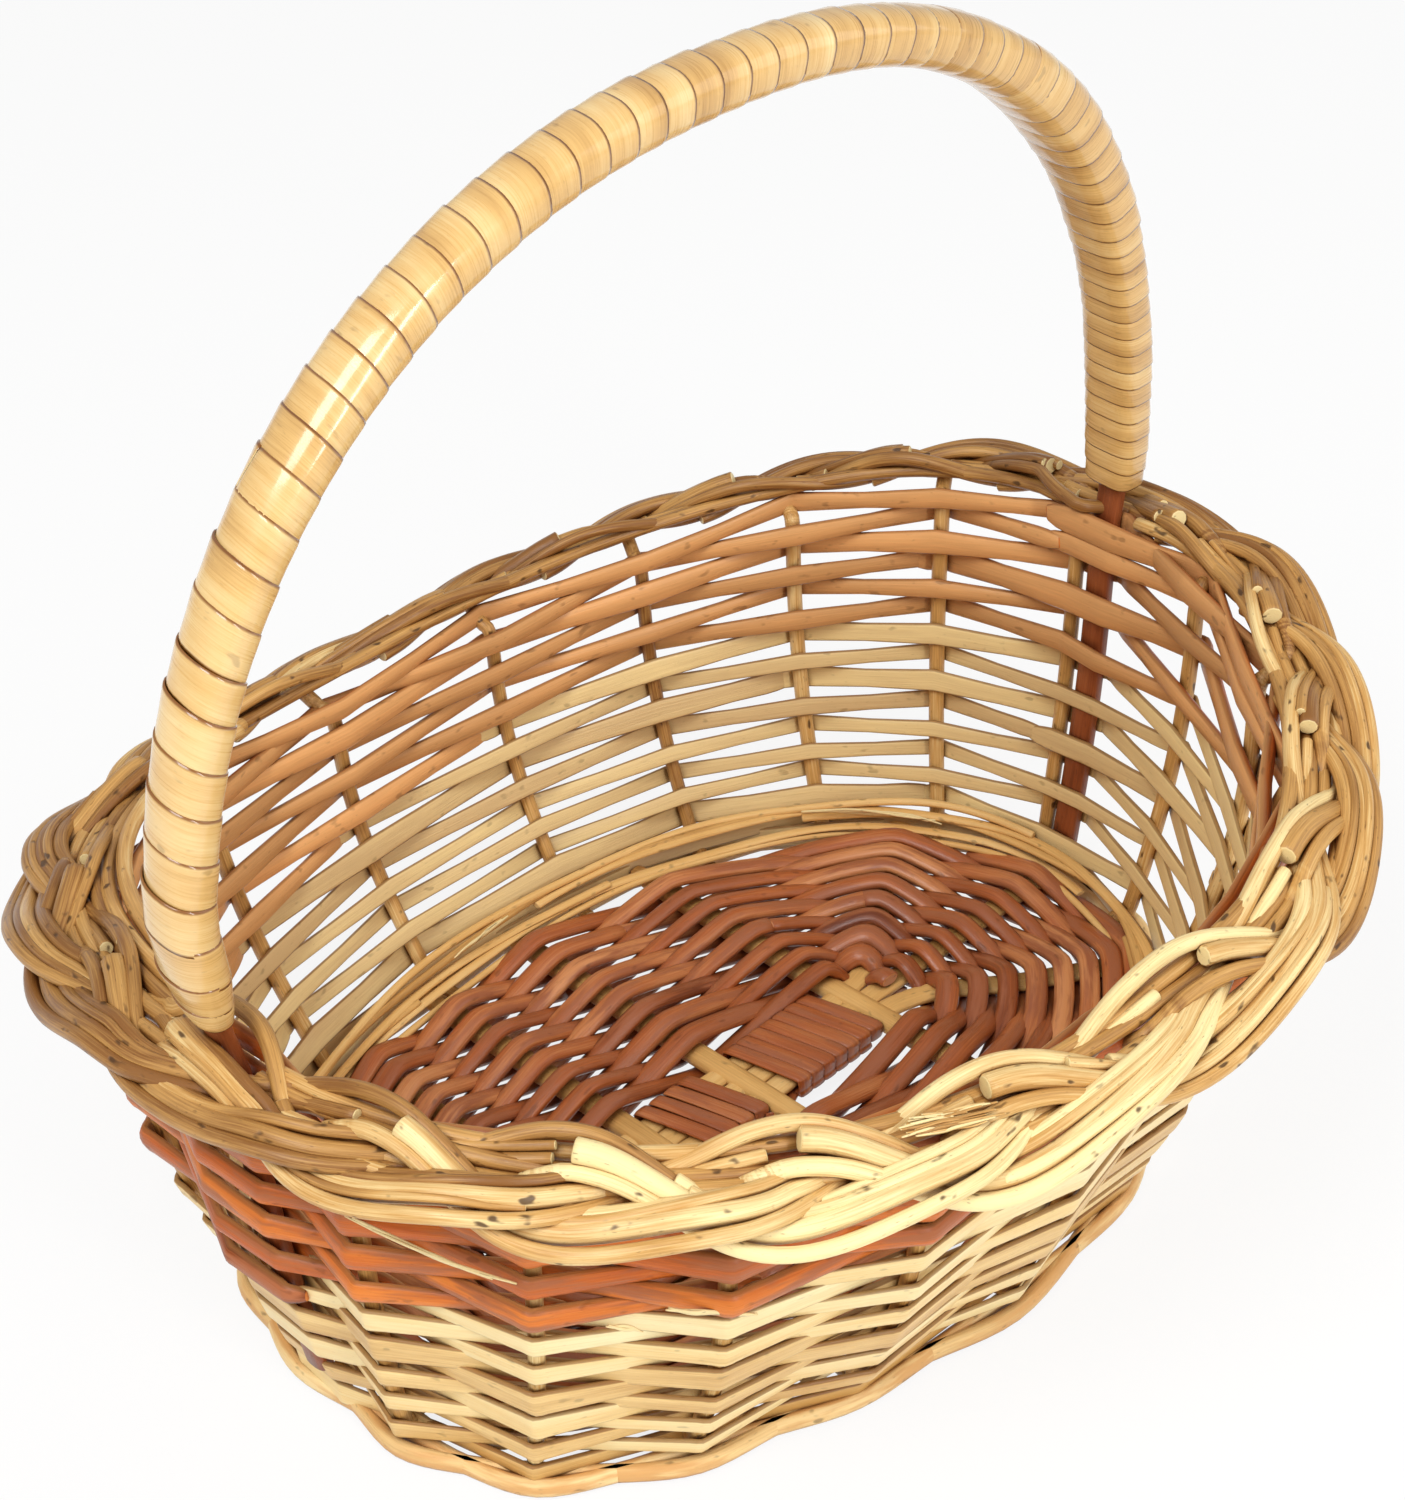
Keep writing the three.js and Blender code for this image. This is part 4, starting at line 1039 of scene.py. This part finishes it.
def build_binding():
    """Binding of the long sticks: a strip wound close in each bay, which passes under the cross sticks."""
    half, low_z, high_z = SLATH_HALF_WIDTH + 0.8, 2.0, 2.15
    points, hints = [], []
    for left, right in zip(CROSS_PLACES, CROSS_PLACES[1:]):
        from_x, to_x = left + BINDING_GAP, right - BINDING_GAP
        turns = max(int(round((to_x - from_x) / BINDING_PITCH)), 2)
        for k in range(turns):
            x = from_x + (to_x - from_x) * k / turns
            after = from_x + (to_x - from_x) * (k + 1) / turns
            for at_x, y, z, hy, hz in ((x, -half + 1, -low_z, -0.4, -1), (x, half - 1, -low_z, 0.4, -1),
                                       (x, half, 1 - low_z, 1, -0.4), (x, half, high_z - 1, 1, 0.4),
                                       (x, half - 1, high_z, 0.4, 1), ((x + after) / 2, 0.0, high_z + 0.2, 0, 1),
                                       (after, -half + 1, high_z, -0.4, 1), (after, -half, high_z - 1, -1, 0.4),
                                       (after, -half, 1 - low_z, -1, -0.4)):
                points.append((at_x, y, BASE_LEVEL + z))
                hints.append((0, hy, hz))
    path = smooth(np.array(points), 3)
    hint = unit(smooth(np.array(hints, float), 3))
    piece = Bundle("spine_strip")
    piece.sweep(path, hint, 2.12, 0.55, ring_section(10, 2.6))
    piece.build(floor_wood, "brown_willow", ["spine_wrap"])


# Torn fibres. On the wall: start and end by degrees and level, number, half width, and distance out. On the border:
# a tuft, by degrees and place across.
WALL_FIBRES = (((195, 79), (209, 73), 4, 0.55, 4.4), ((224, 66), (232, 61), 3, 0.6, 4.4),
               ((219, 62), (222, 60), 2, 0.5, 4.4), ((22, 12.5), (46, 12.5), 3, 0.5, -13.0),
               ((24, 11.5), (40, 11.5), 2, 0.6, -11.0), ((90, 11.0), (97, 10.0), 2, 0.5, -12.0))
TUFT, TUFT_DEGREES, TUFT_PLACES, TUFT_LENGTHS = 22, (245.5, 248.5), (-4.8, -1.4), (4.5, 7.0)


def add_fibre(piece, points, width, torn, tint):
    path = smooth(points, 4)
    share = np.linspace(-1, 1, len(path))
    wide = width * np.clip(1.05 - share ** 2, 0.1, 1) ** 0.5
    outward = unit(path.mean(0) * np.array([1, 1, 0]))
    piece.sweep(path, outward, wide, 0.22, ring_section(6, 3.0), tint=tint, torn=torn)


def build_fibres():
    piece = Bundle("torn_fibres")
    for start, end, count, width, out in WALL_FIBRES:
        for _ in range(count):
            points = []
            slip = rng.uniform(-0.12, 0.12)
            for share in np.linspace(0, 1, 5) + slip:
                t = math.radians(start[0] + (end[0] - start[0]) * share)
                z = start[1] + (end[1] - start[1]) * share + rng.uniform(-0.35, 0.35)
                normal = wall_frame(t, z)[0]
                points.append(wall_point(t, z) + normal * (out + rng.uniform(-0.2, 0.3)))
            add_fibre(piece, points, width * rng.uniform(0.6, 1.1), True, rng.uniform(0.7, 0.95))
    for number in range(TUFT):
        first, place = rng.uniform(*TUFT_DEGREES), rng.uniform(*TUFT_PLACES)
        points = []
        for share in (0, 1 / 3, 2 / 3, 1):
            t = math.radians(first + rng.uniform(*TUFT_LENGTHS) * share)
            points.append(border_point(t, place + 1.5 * share, 3.9 + rng.uniform(-0.4, 0.5), swollen=False))
        add_fibre(piece, points, rng.uniform(0.25, 0.5), number % 3 == 0, rng.uniform(0.1, 0.7))
    piece.build(plait_wood, "border_willow")


# Stage, in metres: floor, lamps and camera.

FLOOR_GLOW, WORLD_LIGHT = 0.86, 0.44
# Name, place, size and power of each lamp.
LAMPS = (("key", (-0.75, -0.15, 1.15), (0.6, 0.6), 9.5), ("streak", (-0.22, -1.15, 0.75), (0.16, 0.9), 7.0),
         ("fill", (0.75, -0.75, 0.8), (0.8, 0.8), 2.5))
LAMP_AIM = (0, 0, 0.1)
# The camera fitted to the photo: turn, rise and roll in degrees, aim and distance in millimetres, and focal length
# and middle in pixels.
CAMERA_TURNS, CAMERA_AIM, CAMERA_DISTANCE = (-44.71, 35.61, -1.68), (0, 0, 100.0), 637.62
PHOTO = (1405, 1500)
FOCAL, MIDDLE = 3006.57, (720.91, 766.68)


def stage_floor():
    bpy.ops.mesh.primitive_plane_add(size=8, location=(0, 0, -0.0002))
    floor = bpy.context.object
    floor.name = "floor"
    n = Nodes(bpy.data.materials.new("floor_paper"))
    n.fill(n.shader, {"Base Color": (0.93, 0.93, 0.92, 1), "Roughness": 0.9})
    glow = n.node("ShaderNodeEmission", {"Color": (1, 1, 1, 1)})
    share = n.math("MULTIPLY", n.seen_by("Camera", "Glossy", "Transmission"), FLOOR_GLOW)
    mixed = n.node("ShaderNodeMixShader", {0: share, 1: n.shader.outputs[0], 2: glow.outputs[0]})
    n.fill(n.tree.nodes["Material Output"], {"Surface": mixed.outputs[0]})
    floor.data.materials.append(n.owner)


def lamp(name, place, size, power):
    data = bpy.data.lights.new(name, "AREA")
    data.shape = "RECTANGLE"
    data.size, data.size_y = size
    data.energy = power
    made = add_object(name, data)
    made.location = place
    made.rotation_mode = "QUATERNION"
    made.rotation_quaternion = Vector(np.array(LAMP_AIM) - np.array(place)).to_track_quat("-Z", "Y")


def light():
    world = bpy.data.worlds.new("studio")
    bpy.context.scene.world = world
    n = Nodes(world)
    strength = n.node("ShaderNodeMapRange", {0: n.seen_by("Camera", "Transmission"), 3: WORLD_LIGHT})
    n.fill(n.tree.nodes["Background"], {"Color": (1, 1, 1, 1), "Strength": strength.outputs[0]})
    for each in LAMPS:
        lamp(*each)


def camera():
    azimuth, elevation, roll = (math.radians(v) for v in CAMERA_TURNS)
    back = np.array([math.sin(azimuth) * math.cos(elevation), -math.cos(azimuth) * math.cos(elevation),
                     math.sin(elevation)])
    right = np.array([math.cos(azimuth), math.sin(azimuth), 0])
    up = np.cross(back, right)
    rolled_right = right * math.cos(roll) + up * math.sin(roll)
    rolled_up = -right * math.sin(roll) + up * math.cos(roll)
    eye = (np.array(CAMERA_AIM) + back * CAMERA_DISTANCE) * MM
    data = bpy.data.cameras.new("photo_view")
    data.sensor_width = 36
    data.lens = FOCAL * 36 / PHOTO[1]
    data.shift_x = -(MIDDLE[0] - PHOTO[0] / 2) / PHOTO[1]
    data.shift_y = (MIDDLE[1] - PHOTO[1] / 2) / PHOTO[1]
    data.clip_start = 0.01
    made = add_object("photo_view", data)
    rotation = Matrix((rolled_right, rolled_up, back)).transposed()
    made.matrix_world = Matrix.Translation(Vector(eye)) @ rotation.to_4x4()
    bpy.context.scene.camera = made


build_stakes()
build_liners()
build_core_rods()
build_wall()
build_upset_rods()
build_foot()
build_core()
build_wraps()
build_base_rods()
build_cross_sticks()
build_long_sticks()
build_binding()
build_fibres()
stage_floor()
light()
camera()
bpy.context.scene.view_settings.view_transform = "Standard"
